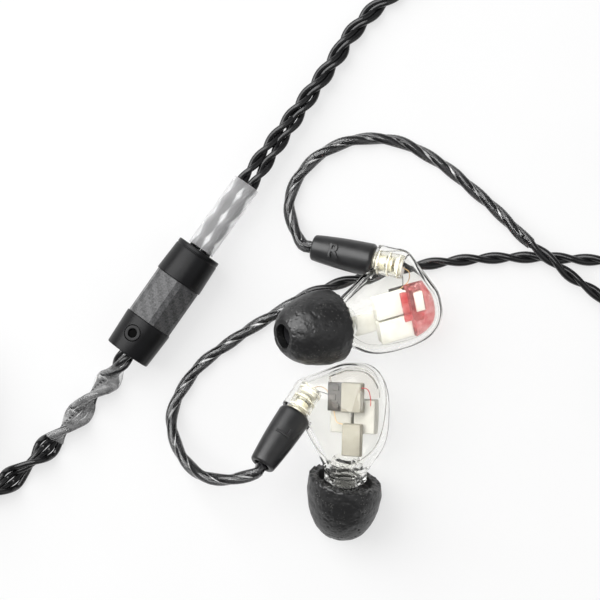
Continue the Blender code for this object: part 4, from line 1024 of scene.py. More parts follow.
class RibbonTwist:
    """How the four wires of the main cable turn about its line, side by side as in a ribbon."""

    def __init__(self, cables: Cables, line: Sequence[Vector]) -> None:
        """Work out the turn at each point, how open the ribbon is and where its middle lies.

        Args:
            cables: The twist's sizes.
            line: The cable's line, from the splitter to the jack.
        """
        self.sizes = cables
        self.line = line
        self.normals = level_normals(line)
        self.ways = tangents(line)
        reaches = [number * cables.step for number in range(len(line))]
        self.angles = [math.tau * reach / cables.ribbon_pitch + cables.ribbon_phase
                       for reach in reaches]
        self.opens = [ease((reach - cables.open_from) / cables.open_over)
                      * (1.0 - ease((reach - MAIN_FLAT) / cables.close_over))
                      for reach in reaches]
        self.centres = [self.centre(number, reach < MAIN_SHRINK)
                        for number, reach in enumerate(reaches)]

    def squeezed(self, offset: float, stand: float) -> float:
        """Return a wire's offset where the ribbon stands on edge by a share."""
        return offset * (1.0 - self.sizes.ribbon_squeeze * stand)

    def centre(self, number: int, covered: bool) -> Vector:
        """Return the ribbon's middle at a point, as high as its lowest wire needs.

        Args:
            number: The point's number.
            covered: Whether the shrink goes over it.
        """
        sizes = self.sizes
        angle = self.angles[number]
        upright = abs(math.sin(angle))
        stand = upright ** 2
        cover = sizes.ribbon_zigzag * stand * abs(math.cos(angle))
        if covered:
            cover += sizes.shrink_cover + sizes.shrink_edge * stand
        reach = self.squeezed(sizes.ribbon_offsets[-1], stand) * upright
        point = self.line[number]
        goal = Vector((point.x, point.y, sizes.ribbon_wire + cover + reach))
        return point.lerp(goal, self.opens[number])

    def wire(self, wire: int) -> list[Vector]:
        """Return the line of one wire."""
        sizes = self.sizes
        offset = sizes.ribbon_offsets[wire]
        shift = sizes.ribbon_zigzag if wire % 2 else -sizes.ribbon_zigzag
        quarter = math.tau * wire / len(sizes.ribbon_offsets)
        points = []
        for number, centre in enumerate(self.centres):
            angle = self.angles[number]
            stand = math.sin(angle) ** 2
            share = self.opens[number]
            u = self.squeezed(offset, stand)
            v = shift * stand
            x = (u * math.cos(angle) - v * math.sin(angle)) * share
            y = (u * math.sin(angle) + v * math.cos(angle)) * share
            x += sizes.quad_offset * math.cos(angle + quarter) * (1.0 - share)
            y += sizes.quad_offset * math.sin(angle + quarter) * (1.0 - share)
            normal = self.normals[number]
            points.append(centre + normal * x + self.ways[number].cross(normal) * y)
        return points

    def outline(self, number: int) -> list[Point]:
        """Return the shrink's outline at a point."""
        sizes = self.sizes
        stand = math.sin(self.angles[number]) ** 2
        share = self.opens[number]
        half = (self.squeezed(sizes.ribbon_offsets[-1], stand) * share
                + sizes.shrink_neck * (1.0 - share))
        radius = sizes.ribbon_wire + sizes.shrink_cover + sizes.shrink_edge * stand
        return stadium(half, radius, self.angles[number])


@dataclass
class Cables:
    """The two ear cables and the main cable, from the plugs to the jack.

    An ear cable is a twisted pair. Near the splitter it is a thinner lead, and there the two
    leads close up and part again. The sizes of each of these stretches have its name.
    """

    splitter: SplitterFrame
    step: float = 0.55 * MM
    path_stride: int = 3
    tuck: float = 0.9
    plug_start: float = 0.8
    main_start: float = 0.4
    pair_wire: float = 0.56 * MM
    pair_offset: float = 0.44 * MM
    pair_pitch: float = 10.2 * MM
    pair_sides: int = 12
    lead_wire: float = 0.50 * MM
    lead_offset: float = 0.47 * MM
    lead_pitch: float = 8.8 * MM
    lead_reach: float = 90.0 * MM
    lead_straight: float = 39.0 * MM
    lead_pieces: int = 4
    joined_wire: float = 0.49 * MM
    joined_offset: float = 0.59 * MM
    joined_spread: float = 0.42 * MM
    joined_lift: float = 0.03 * MM
    join_from: float = 9.0 * MM
    join_to: float = 37.0 * MM
    part_from: float = 54.0 * MM
    part_to: float = 70.0 * MM
    sleeve_half: float = 0.2 * MM
    sleeve_radius: float = 0.83 * MM
    glint_offset: float = 0.56 * MM
    glint_radius: float = 0.22 * MM
    glint_thin: float = 0.1
    glint_focus: int = 8
    glint_inset: int = 4
    glint_sides: int = 8
    ribbon_wire: float = 0.48 * MM
    ribbon_offsets: tuple[float, ...] = (-1.58 * MM, -0.53 * MM, 0.53 * MM, 1.58 * MM)
    ribbon_zigzag: float = 0.25 * MM
    ribbon_squeeze: float = 0.25
    ribbon_pitch: float = 15.5 * MM
    ribbon_phase: float = math.radians(20.0)
    ribbon_sides: int = 10
    open_from: float = 3.0 * MM
    open_over: float = 5.0 * MM
    close_over: float = 20.0 * MM
    quad_offset: float = 0.95 * MM
    shrink_cover: float = 0.1 * MM
    shrink_edge: float = 0.12 * MM
    shrink_neck: float = 0.5 * MM
    jack_foot: Vector = Vector((-105.6, 15.8, 0.0)) * MM
    jack_radius: float = 3.4 * MM

    def __post_init__(self) -> None:
        """Work out the leads' lines."""
        self.leads = self.joined_leads()

    def plain_lead(self, way: float, route: Route, coil: Coil) -> list[Vector]:
        """Return a lead's own line from the splitter's cap to its coil."""
        face = self.splitter.lead_face(way)
        run = [face + self.splitter.lead_way * (self.lead_straight * number / self.lead_pieces)
               for number in range(self.lead_pieces + 1)]
        coil_end = coil.line()[-1]
        before = coil_end + Vector((0.0, EAR_CABLE, 0.0))
        return smooth_line([*run, *route_points(route), before, coil_end], self.step)

    def nearness(self, reach: float) -> float:
        """Return how far the leads have closed up at a distance from the splitter."""
        join = ease((reach - self.join_from) / (self.join_to - self.join_from))
        return join * (1.0 - ease((reach - self.part_from) / (self.part_to - self.part_from)))

    def joined_leads(self) -> dict[str, list[Vector]]:
        """Return the leads' lines, which close up as far as the view goes and part again."""
        right = self.plain_lead(1, RIGHT_LEAD_ROUTE, RIGHT_COIL)
        left = self.plain_lead(-1, LEFT_LEAD_ROUTE, LEFT_COIL)
        lines: dict[str, list[Vector]] = {"right": [], "left": []}
        for number, (first, second) in enumerate(zip(right, left)):
            reach = number * self.step
            if reach > self.part_to:
                break
            near = self.nearness(reach)
            middle = (first + second) / 2
            plain = EAR_CABLE / 2
            room = plain + (self.joined_wire + self.joined_offset - plain) * near
            lift = UP * max(0.0, room + self.joined_lift - middle.z)
            share = near * max(0.0, 1.0 - self.joined_spread / (first - middle).length)
            lines["right"].append(first.lerp(middle, share) + lift)
            lines["left"].append(second.lerp(middle, share) + lift)
        done = len(lines["right"])
        lines["right"] += right[done:]
        lines["left"] += left[done:]
        return lines

    def ear_line(self, side: Side, route: Route, coil: Coil) -> list[Vector]:
        """Return an ear cable's line from its plug's rear, through its coil, to the splitter.

        Args:
            side: Whose cable it is.
            route: Its free stretch.
            coil: Its coil.
        """
        away = side.frame.to_3x3() @ -side.flip(CONNECTOR_AXIS)
        rear = side.mouth + away * (SEAT_GAP + PLUG_LENGTH)
        wound = coil.line()
        before = wound[0] - coil.tangent(0.0) * EAR_CABLE
        start = [rear - away * CABLE_ENTRY * self.tuck, rear,
                 rear + away * (self.plug_start * EAR_CABLE)]
        free = smooth_line([*start, *route_points(route), before, wound[0]], self.step)
        back = list(reversed(self.leads[side.name]))
        return even_line([*free, *smooth_line(wound, self.step)[1:], *back[1:]], self.step)

    def main_line(self) -> list[Vector]:
        """Return the main cable's line from the splitter, through its coil, to the jack."""
        start = self.splitter.matrix.translation
        out = [start + SPLITTER_HEADING * CABLE_ENTRY * self.tuck, start,
               start - SPLITTER_HEADING * (self.main_start * MAIN_CABLE)]
        wound = MAIN_COIL.line()
        free = smooth_line([*out, *route_points(MAIN_ROUTE), wound[0]], self.step)
        foot = self.jack_foot + UP * self.jack_radius
        tail = [foot + Vector((0.0, CABLE_ENTRY * self.tuck, 0.0)), foot,
                *route_points(TAIL_ROUTE), wound[-1]]
        back = list(reversed(smooth_line(tail, self.step)))
        return even_line([*free, *smooth_line(wound, self.step)[1:], *back[1:]], self.step)

    def covered(self, sheathed: float) -> range:
        """Return the numbers of the points that a shrink of a length goes over."""
        return range(round(CABLE_ENTRY / self.step), round(sheathed / self.step))

    def path(self, line: Sequence[Vector]) -> list[tuple[float, ...]]:
        """Return some of a line's points, and its last, as a cord's path."""
        return [tuple(point) for point in line[::self.path_stride]] + [tuple(line[-1])]

    def build_pair(self, side: Side, twist: EarTwist) -> Piece:
        """Make the two wires of an ear cable.

        Args:
            side: Whose cable it is.
            twist: How the wires turn.

        Returns:
            The cable.
        """
        form = bmesh.new()
        for half_turn in (0.0, math.pi):
            wire = []
            for number, point in enumerate(twist.line):
                across = twist.blend(number, self.pair_offset, self.lead_offset,
                                     self.lead_offset)
                above = twist.blend(number, self.pair_offset, self.lead_offset,
                                    self.joined_offset)
                wire.append(point + twist.offset(number, half_turn, across, above))
            add_tube(form, wire, lambda number: twist.blend(
                number, self.pair_wire, self.lead_wire, self.joined_wire), self.pair_sides)
        nodes = [f"{side.name}_ear_{stretch}" for stretch in ("cable", "coil", "lead")]
        return publish(f"{side.name}_ear_pair", form, SHEATH, Body.SET, nodes, Crease.CORD)

    def build_sleeve(self, side: Side, twist: EarTwist, covered: range) -> Piece:
        """Make the clear shrink over an ear cable's first stretch."""
        form = bmesh.new()
        add_sweep(form, [twist.line[number] for number in covered],
                  [twist.normals[number] for number in covered],
                  lambda number: stadium(self.sleeve_half, self.sleeve_radius,
                                         twist.angles[covered[number]]))
        return publish(f"{side.name}_shrink", form, CLEAR_SHRINK, Body.SET, (), Crease.CORD)

    def build_painted_glints(self, side: Side, twist: EarTwist, covered: range) -> Piece:
        """Make pale strands in the valleys between the wires, a painted highlight for the light
        that the shrink catches there.

        Args:
            side: Whose cable it is.
            twist: How its wires turn.
            covered: The numbers of the points that the shrink goes over.

        Returns:
            The strands, which are wide only where a valley faces up.
        """
        form = bmesh.new()
        for quarter in (math.pi / 2, -math.pi / 2):
            strand = []
            sizes = []
            for number in covered[self.glint_inset:-self.glint_inset]:
                facing = twist.offset(number, quarter, 1.0, 1.0)
                # The painted highlight is wide only where the valley faces up.
                wide = (1.0 - self.glint_thin) * max(0.0, facing.z) ** self.glint_focus
                strand.append(twist.line[number] + facing * self.glint_offset)
                sizes.append(self.glint_radius * (self.glint_thin + wide))
            add_tube(form, strand, lambda number: sizes[number], self.glint_sides)
        return publish(f"{side.name}_shrink_painted_glint", form, PAINTED_VALLEY_GLINT, Body.SET, (), Crease.CORD)

    def build_ear(self, side: Side, route: Route, coil: Coil, sheathed: float) -> None:
        """Make one ear cable and the clear shrink over its first stretch.

        Args:
            side: Whose cable it is.
            route: Its free stretch.
            coil: Its coil.
            sheathed: The length of the shrink.
        """
        line = self.ear_line(side, route, coil)
        twist = EarTwist(self, line)
        covered = self.covered(sheathed)
        cable = self.build_pair(side, twist)
        shrink = self.build_sleeve(side, twist, covered)
        # The pale strands in the valleys are a painted highlight.
        fill = self.build_painted_glints(side, twist, covered)
        LOG.info("%s ear cable %.0f mm", side.name, line_length(line) / MM)

    def build_main(self) -> None:
        """Make the main cable, a flat twist of four wires that closes up in its coil."""
        line = self.main_line()
        twist = RibbonTwist(self, line)
        form = bmesh.new()
        for wire in range(len(self.ribbon_offsets)):
            add_tube(form, twist.wire(wire), self.ribbon_wire, self.ribbon_sides)
        cable = publish("main_quad", form, SHEATH, Body.SET,
                        ("main_cable", "main_coil", "main_tail"), Crease.CORD)
        covered = self.covered(MAIN_SHRINK)
        form = bmesh.new()
        add_sweep(form, [twist.centres[number] for number in covered],
                  [twist.normals[number] for number in covered],
                  lambda number: twist.outline(covered[number]))
        shrink = publish("main_shrink", form, CLOUDY_SHRINK, Body.SET, (), Crease.CORD)
        LOG.info("main cable %.0f mm", line_length(line) / MM)

    def build(self, jack_pieces: Sequence[Piece]) -> None:
        """Make all three cables. The jack's pieces that it is given are not used."""
        self.build_ear(RIGHT, RIGHT_EAR_ROUTE, RIGHT_COIL, RIGHT_SHRINK)
        self.build_ear(LEFT, LEFT_EAR_ROUTE, LEFT_COIL, LEFT_SHRINK)
        self.build_main()


def rod(start: Vector, direction: Vector, length: float, radius: float) -> Piece:
    """Return a working round bar."""
    form = bmesh.new()
    place = along(start + direction * (length / 2), direction)
    bmesh.ops.create_cone(form, cap_ends=True, segments=96, radius1=radius, radius2=radius,
                          depth=length, matrix=place)
    return loose("rod", form)


def box(size: Vector, middle: Vector) -> Piece:
    """Return a working box."""
    form = bmesh.new()
    add_block(form, size, Matrix.Translation(middle), 0.0)
    return loose("box", form)


@dataclass
class ShellForm:
    """The left earpiece's cast forms in its own frame: the shell, its hollow and the cradle.

    The body's hull runs from an oval round the drivers to the socket's shoulder and the oval
    collar. The boss round the socket and the stepped spout of the nozzle are joined to it.
    """

    size: Vector = Vector((11.76, 16.58, 9.28)) * MM
    fullness: float = 2.6
    wall: float = 0.8 * MM
    skin: float = 0.2 * MM
    shoulder_radius: float = 2.9 * MM
    shoulder_depth: float = 3.7 * MM
    boss_radius: float = 2.8 * MM
    boss_depth: float = 4.6 * MM
    collar_radius: float = 3.0 * MM
    collar_spread: float = 0.6 * MM
    collar_length: float = 5.0 * MM
    collar_setback: float = 0.2 * MM
    spout_radius: float = 2.7 * MM
    spout_length: float = 2.3 * MM
    spout_shoulder: float = 1.7 * MM
    spout_step: float = 0.75 * MM
    voxel: float = 0.15 * MM
    outside_rounds: int = 8
    hollow_rounds: int = 4
    cradle_rounds: int = 2

    def __post_init__(self) -> None:
        """Make the forms."""
        self.outside = self.make_outside()
        self.hollow = self.make_hollow()
        self.cradle = self.make_cradle()

    def hull(self, inset: float) -> BMesh:
        """Return the rounded body from the drivers' oval to the socket and the nozzle."""
        form = bmesh.new()
        halves = self.size / 2 - Vector((inset, inset, inset))
        body = bmesh.ops.create_uvsphere(form, u_segments=72, v_segments=40, radius=1.0)
        for vert in body["verts"]:
            reach = sum(abs(part) ** self.fullness for part in vert.co)
            vert.co = SHELL_CENTRE + vert.co * halves * reach ** (-1.0 / self.fullness)
        shoulder = Matrix.Translation(CONNECTOR_AXIS * self.shoulder_depth)
        bmesh.ops.create_uvsphere(form, u_segments=40, v_segments=24, matrix=shoulder,
                                  radius=self.shoulder_radius - inset)
        sideways = NOZZLE_AXIS.cross(UP).normalized()
        end = NOZZLE_FOOT - NOZZLE_AXIS * (self.collar_setback + inset)
        for way in (-1, 1):
            ring = along(end + sideways * self.collar_spread * way, NOZZLE_AXIS)
            bmesh.ops.create_circle(form, cap_ends=False, segments=64, matrix=ring,
                                    radius=self.collar_radius - inset)
        bmesh.ops.delete(form, geom=form.edges[:], context="EDGES_FACES")
        made = bmesh.ops.convex_hull(form, input=form.verts[:])
        inside = [item for item in made["geom_interior"] if isinstance(item, bmesh.types.BMVert)]
        bmesh.ops.delete(form, geom=inside, context="VERTS")
        bmesh.ops.recalc_face_normals(form, faces=form.faces)
        return form

    def make_outside(self) -> Mesh:
        """Return the outside, with the socket's boss and the nozzle's stepped spout."""
        back = self.collar_length / 2
        root = NOZZLE_FOOT - NOZZLE_AXIS * back
        boss = rod(Vector(), CONNECTOR_AXIS, self.boss_depth, self.boss_radius)
        spout = rod(root, NOZZLE_AXIS, back + self.spout_length, self.spout_radius)
        step = rod(root, NOZZLE_AXIS, back + self.spout_shoulder,
                   self.spout_radius + self.spout_step)
        room = rod(CONNECTOR_AXIS * -FIT_GAP, -CONNECTOR_AXIS, PLUG_LENGTH,
                   PLUG_RADIUS + SEAT_GAP)
        tools = ((boss, Join.ADD), (spout, Join.ADD), (step, Join.ADD), (room, Join.CUT))
        return combine(loose("outside", self.hull(0.0)), tools, self.voxel, self.outside_rounds)

    def make_hollow(self) -> Mesh:
        """Return the hollow, with the bores that the socket and the nozzle sit in."""
        back = COLLAR_LIP + SEAT_GAP + NOZZLE_FLANGE_LENGTH
        root = NOZZLE_FOOT - NOZZLE_AXIS * back
        socket = rod(CONNECTOR_AXIS * self.skin, CONNECTOR_AXIS, SOCKET_LENGTH + SEAT_GAP,
                     SOCKET_BORE + SOCKET_WALL + FIT_GAP)
        nozzle = rod(root, NOZZLE_AXIS, back + self.spout_length - self.skin,
                     self.spout_radius - self.wall)
        collar = rod(root, NOZZLE_AXIS, back + self.spout_shoulder - self.wall,
                     self.spout_radius + self.spout_step - self.wall)
        tools = ((socket, Join.ADD), (nozzle, Join.ADD), (collar, Join.ADD))
        return combine(loose("hollow", self.hull(self.wall)), tools, self.voxel,
                       self.hollow_rounds)

    def make_cradle(self) -> Mesh:
        """Return the cradle behind the woofers, with its lip over them and its window."""
        low = DRIVER_DECK - SEAT_GAP / 2
        start = WOOFER_BACK + WOOFER_SIZE.y + SEAT_GAP
        middle = Vector((0.0, start + CRADLE_SIZE.y / 2, low - CRADLE_SIZE.z / 2))
        lip_x = CRADLE_LIP.x / 2 - CRADLE_SIZE.x / 2
        top = low - WOOFER_SIZE.z - SEAT_GAP
        lip = Vector((lip_x, start + CRADLE_RAIL - CRADLE_LIP.y / 2, top - CRADLE_LIP.z / 2))
        window = Vector((CRADLE_WINDOW.x, CRADLE_WINDOW.y, CRADLE_SIZE.z * 3))
        hole = Vector((lip_x, start + CRADLE_RAIL + CRADLE_WINDOW.y / 2, middle.z))
        tools = ((box(CRADLE_LIP, SHELL_CENTRE + lip), Join.ADD),
                 (box(window, SHELL_CENTRE + hole), Join.CUT),
                 (loose("room", self.hull(self.wall + SEAT_GAP)), Join.KEEP))
        return combine(box(CRADLE_SIZE, SHELL_CENTRE + middle), tools, self.voxel,
                       self.cradle_rounds)


@dataclass
class EarPart:
    """A sub-assembly of one earpiece, drawn in the left earpiece's frame."""

    side: Side

    def name(self, piece: str) -> str:
        """Return a piece's name with its side."""
        return f"{self.side.name}_{piece}"

    def node(self, *pieces: str) -> list[str]:
        """Return CAD nodes' names with this side."""
        return [self.name(piece) for piece in pieces]

    def on_axis(self, point: Vector, direction: Vector) -> Matrix:
        """Return the place on the table of an axis of the left earpiece's frame."""
        return self.side.frame @ along(self.side.flip(point), self.side.flip(direction))

    def at(self, offset: Vector) -> Matrix:
        """Return the place on the table of a point given from the shell's centre."""
        return self.side.frame @ Matrix.Translation(self.side.flip(SHELL_CENTRE + offset))

    def turned(self, name: str, profile: Profile, finish: Finish, place: Matrix,
               node: str, body: Body = Body.SET, sides: int = 64) -> None:
        """Make one round piece."""
        form = bmesh.new()
        add_turned(form, profile, place, sides)
        publish(self.name(name), form, finish, body, self.node(node))

    def local(self, mesh: Mesh) -> BMesh:
        """Return a mesh of the left earpiece as this side's, in the earpiece's frame."""
        form = bmesh.new()
        form.from_mesh(mesh)
        if self.side.hand < 0:
            bmesh.ops.scale(form, vec=(-1, 1, 1), verts=form.verts)
            bmesh.ops.reverse_faces(form, faces=form.faces)
        return form

    def settle(self, form: BMesh, place: Matrix) -> None:
        """Put a bmesh at a place, and let what lies on the table end there."""
        bmesh.ops.transform(form, matrix=place, verts=form.verts)
        for vert in form.verts:
            vert.co.z = max(vert.co.z, 0.0)


@dataclass
class Shell(EarPart):
    """The clear shell and the thin line where its halves are bonded."""

    forms: ShellForm
    seam_drop: float = 2.0 * MM
    seam_tilt: float = math.radians(-15.5)
    seam_radius: float = 0.08 * MM
    seam_spacing: float = 0.25 * MM

    def build(self) -> None:
        """Make the hollow shell and its seam."""
        form = self.local(self.forms.outside)
        hollow = self.local(self.forms.hollow)
        bmesh.ops.reverse_faces(hollow, faces=hollow.faces)
        absorb(form, hollow)
        self.settle(form, self.side.frame)
        publish(self.name("shell"), form, CLEAR_SHELL, Body.SET,
                self.node("outer_shell", "inner_shell"), Crease.SMOOTH)
        self.build_seam()

    def build_seam(self) -> None:
        """Make the seam's line, where a slanting plane cuts the outside."""
        form = self.local(self.forms.outside)
        turn = Matrix.Rotation(self.seam_tilt, 3, "X")
        cut = bmesh.ops.bisect_plane(form, geom=form.verts[:] + form.edges[:] + form.faces[:],
                                     dist=WELD, plane_co=UP * -self.seam_drop,
                                     plane_no=turn @ UP)
        edges = [item for item in cut["geom_cut"] if isinstance(item, bmesh.types.BMEdge)]
        loop = even_line(self.longest_chain(edges), self.seam_spacing)
        form.free()
        seam = bmesh.new()
        add_tube(seam, [self.side.frame @ point for point in loop], self.seam_radius, 8)
        publish(self.name("seam"), seam, SEAM_BOND, Body.SET, (), Crease.SMOOTH)

    @staticmethod
    def longest_chain(edges: Sequence[bmesh.types.BMEdge]) -> list[Vector]:
        """Return the longest chain of edges as a line of points."""
        left = set(edges)
        best: list[Vector] = []
        while left:
            first = left.pop()
            chain = [first.verts[0], first.verts[1]]
            while True:
                step = next((edge for edge in chain[-1].link_edges if edge in left), None)
                if step is None:
                    break
                left.discard(step)
                chain.append(step.other_vert(chain[-1]))
            if len(chain) > len(best):
                best = [vert.co.copy() for vert in chain]
        return best


@dataclass
class Drivers(EarPart):
    """The drivers' cans, the cradle with the block in its window, and the crossover board."""

    forms: ShellForm
    tweeter_size: Vector = Vector((3.5, 4.8, 1.7)) * MM
    tweeter_back: float = 0.3 * MM
    midrange_size: Vector = Vector((3.3, 5.2, 1.2)) * MM
    midrange_back: float = -6.7 * MM
    treble_shift: float = 0.4 * MM
    woofer_fold: float = 0.4
    treble_fold: float = 0.6
    fold_height: float = 0.2 * MM
    fold_gap: float = 0.1 * MM
    fold_inset: float = 0.3 * MM
    lid_inset: float = 0.16 * MM
    lid_bevel: float = 0.2 * MM
    can_bevel: float = 0.22 * MM
    block_gap: Vector = Vector((0.3, 0.2)) * MM
    block_height: float = 1.6 * MM
    block_drop: float = 1.9 * MM
    block_bevel: float = 0.06 * MM
    board_size: Vector = Vector((2.3, 4.6, 0.5)) * MM
    board_bevel: float = 0.08 * MM
    chip_size: Vector = Vector((1.1, 0.9, 0.35)) * MM
    chip_rise: float = 0.4 * MM
    chip_places: tuple[Point, ...] = ((0.2 * MM, 1.4 * MM), (-0.3 * MM, -0.1 * MM),
                                      (0.25 * MM, -1.5 * MM))

    def build(self) -> None:
        """Make the cans, the cradle, its block and the board."""
        low = DRIVER_DECK - SEAT_GAP / 2
        high = DRIVER_DECK + SEAT_GAP / 2
        self.build_cans(low, high)
        form = self.local(self.forms.cradle)
        bmesh.ops.transform(form, matrix=self.side.frame, verts=form.verts)
        resin = CLEAR_RESIN if self.side is LEFT else RED_RESIN
        publish(self.name("cradle"), form, resin, Body.SET, self.node("driver_cradle"),
                Crease.CAST)
        self.build_block(low)
        self.build_board(high)

    def build_cans(self, low: float, high: float) -> None:
        """Make the two woofers below the deck, and the tweeter and the midrange above it.

        Args:
            low: The top of the woofers.
            high: The bottom of the others.
        """
        spread = (WOOFER_SIZE.x + SEAT_GAP) / 2
        drop = low - WOOFER_SIZE.z / 2
        woofer_y = WOOFER_BACK + WOOFER_SIZE.y / 2
        tweeter_y = self.tweeter_back + self.tweeter_size.y / 2
        midrange_y = self.midrange_back + self.midrange_size.y / 2
        woofer, treble = (PALE_CAN, SILVER_CAN) if self.side is LEFT else (CREAM_CAN, CREAM_CAN)
        cans = {
            "woofer_a": (WOOFER_SIZE, Vector((-spread, woofer_y, drop)), self.woofer_fold, woofer),
            "woofer_b": (WOOFER_SIZE, Vector((spread, woofer_y, drop)), self.woofer_fold, woofer),
            "tweeter": (self.tweeter_size,
                        Vector((self.treble_shift, tweeter_y, high + self.tweeter_size.z / 2)),
                        self.treble_fold, treble),
            "midrange": (self.midrange_size,
                         Vector((self.treble_shift, midrange_y, high + self.midrange_size.z / 2)),
                         self.treble_fold, treble),
        }
        for name, (size, offset, fold, finish) in cans.items():
            form = bmesh.new()
            self.add_can(form, size, offset, fold)
            publish(self.name(f"{name}_can"), form, finish, Body.SET, self.node(name))

    def add_can(self, form: BMesh, size: Vector, offset: Vector, fold: float) -> None:
        """Put a driver's can into a bmesh: a body, a lid and the fold between them.

        Args:
            form: The bmesh that takes it.
            size: The can's size.
            offset: Its middle from the shell's centre, on the left earpiece.
            fold: Where the fold is, as a share of the height.
        """
        gap = self.fold_gap / 2
        body = Vector((size.x, size.y, size.z * fold - gap))
        lid = Vector((size.x - self.lid_inset, size.y - self.lid_inset,
                      size.z * (1.0 - fold) - gap))
        seam = Vector((size.x - self.fold_inset, size.y - self.fold_inset, self.fold_height))
        half = size.z / 2
        for block, rise, bevel in ((body, body.z / 2 - half, self.can_bevel),
                                   (lid, half - lid.z / 2, self.lid_bevel),
                                   (seam, size.z * fold - half, 0.0)):
            add_block(form, block, self.at(offset + UP * rise),
                      min(bevel, block.z * CORNER_SHARE))

    def build_block(self, low: float) -> None:
        """Make the pale block in the cradle's window."""
        size = Vector((CRADLE_WINDOW.x - self.block_gap.x, CRADLE_WINDOW.y - self.block_gap.y,
                       self.block_height))
        start = WOOFER_BACK + WOOFER_SIZE.y + SEAT_GAP
        offset = Vector((CRADLE_LIP.x / 2 - CRADLE_SIZE.x / 2,
                         start + CRADLE_RAIL + CRADLE_WINDOW.y / 2, low - self.block_drop))
        form = bmesh.new()
        add_block(form, size, self.at(offset), self.block_bevel)
        publish(self.name("window_block"), form, CREAM_CAN, Body.SET)

    def build_board(self, high: float) -> None:
        """Make the crossover board with its small parts."""
        x = self.treble_shift - self.tweeter_size.x / 2 - SEAT_GAP - self.board_size.x / 2
        middle = Vector((x, self.tweeter_back + self.tweeter_size.y / 2,
                         high + self.board_size.z / 2))
        form = bmesh.new()
        add_block(form, self.board_size, self.at(middle), self.board_bevel)
        for place in self.chip_places:
            add_block(form, self.chip_size, self.at(middle + Vector((*place, self.chip_rise))),
                      self.board_bevel)
        publish(self.name("board"), form, DARK_PART, Body.SET, self.node("crossover_board"))


@dataclass
class Wiring(EarPart):
    """The fine wires from the socket to the drivers."""

    radius: float = 0.07 * MM
    spacing: float = 0.25 * MM

    def build(self) -> None:
        """Make the three wires."""
        wires = {"wire_a": (RED_WIRE, RED_WIRE_ROUTE), "wire_b": (COPPER_WIRE, COPPER_WIRE_ROUTE),
                 "wire_c": (DARK_PART, DARK_WIRE_ROUTE)}
        for name, (finish, route) in wires.items():
            points = smooth_line(route_points(route), self.spacing)
            form = bmesh.new()
            add_tube(form, [self.side.frame @ self.side.flip(point) for point in points],
                     self.radius, 8)
            publish(self.name(name), form, finish, Body.SET, (), Crease.CORD)


@dataclass
class Nozzle(EarPart):
    """The nozzle tube with the screen in its end, and the fine rings in the collar round it."""

    bore: float = 1.05 * MM
    length: float = 7.2 * MM
    bead_length: float = 0.6 * MM
    flange_radius: float = 2.3 * MM
    edge: float = 0.15 * MM
    screen_setback: float = 0.5 * MM
    screen_depth: float = 0.4 * MM
    ring_heights: tuple[float, ...] = (-0.4 * MM, 0.8 * MM)
    ring_radius: float = 3.3 * MM
    ring_wire: float = 0.045 * MM
    ring_sides: int = 64

    def build(self) -> None:
        """Make the rings, the tube and the screen."""
        self.build_rings()
        flange = -COLLAR_LIP - SEAT_GAP
        root = flange - NOZZLE_FLANGE_LENGTH
        bead = self.length - self.bead_length
        thick = NOZZLE_RADIUS + NOZZLE_BEAD
        place = self.on_axis(NOZZLE_FOOT, NOZZLE_AXIS)
        profile = rounded((
            (root, self.bore), (root, self.flange_radius), (flange, self.flange_radius),
            (flange, NOZZLE_RADIUS), (bead - NOZZLE_BEAD, NOZZLE_RADIUS), (bead, thick),
            (self.length, thick), (self.length, self.bore),
        ), self.edge, 3)
        self.turned("nozzle", profile, CLEAR_TUBE, place, "nozzle_tube", sides=48)
        face = self.length - self.screen_setback
        back = face - self.screen_depth
        radius = self.bore - FIT_GAP
        screen = ((back, 0.0), (back, radius), (face, radius), (face, 0.0))
        self.turned("screen", screen, STEEL, place, "nozzle_screen", sides=32)

    def build_rings(self) -> None:
        """Make the fine rings that the collar's steps show as."""
        ring = circle(self.ring_radius, self.ring_sides)
        form = bmesh.new()
        for height in self.ring_heights:
            place = self.on_axis(NOZZLE_FOOT + NOZZLE_AXIS * height, NOZZLE_AXIS)
            add_tube(form, [place @ Vector((x, y, 0.0)) for x, y in [*ring, ring[0]]],
                     self.ring_wire, 8)
        publish(self.name("collar_rings"), form, SEAM_BOND, Body.SET, (), Crease.CORD)


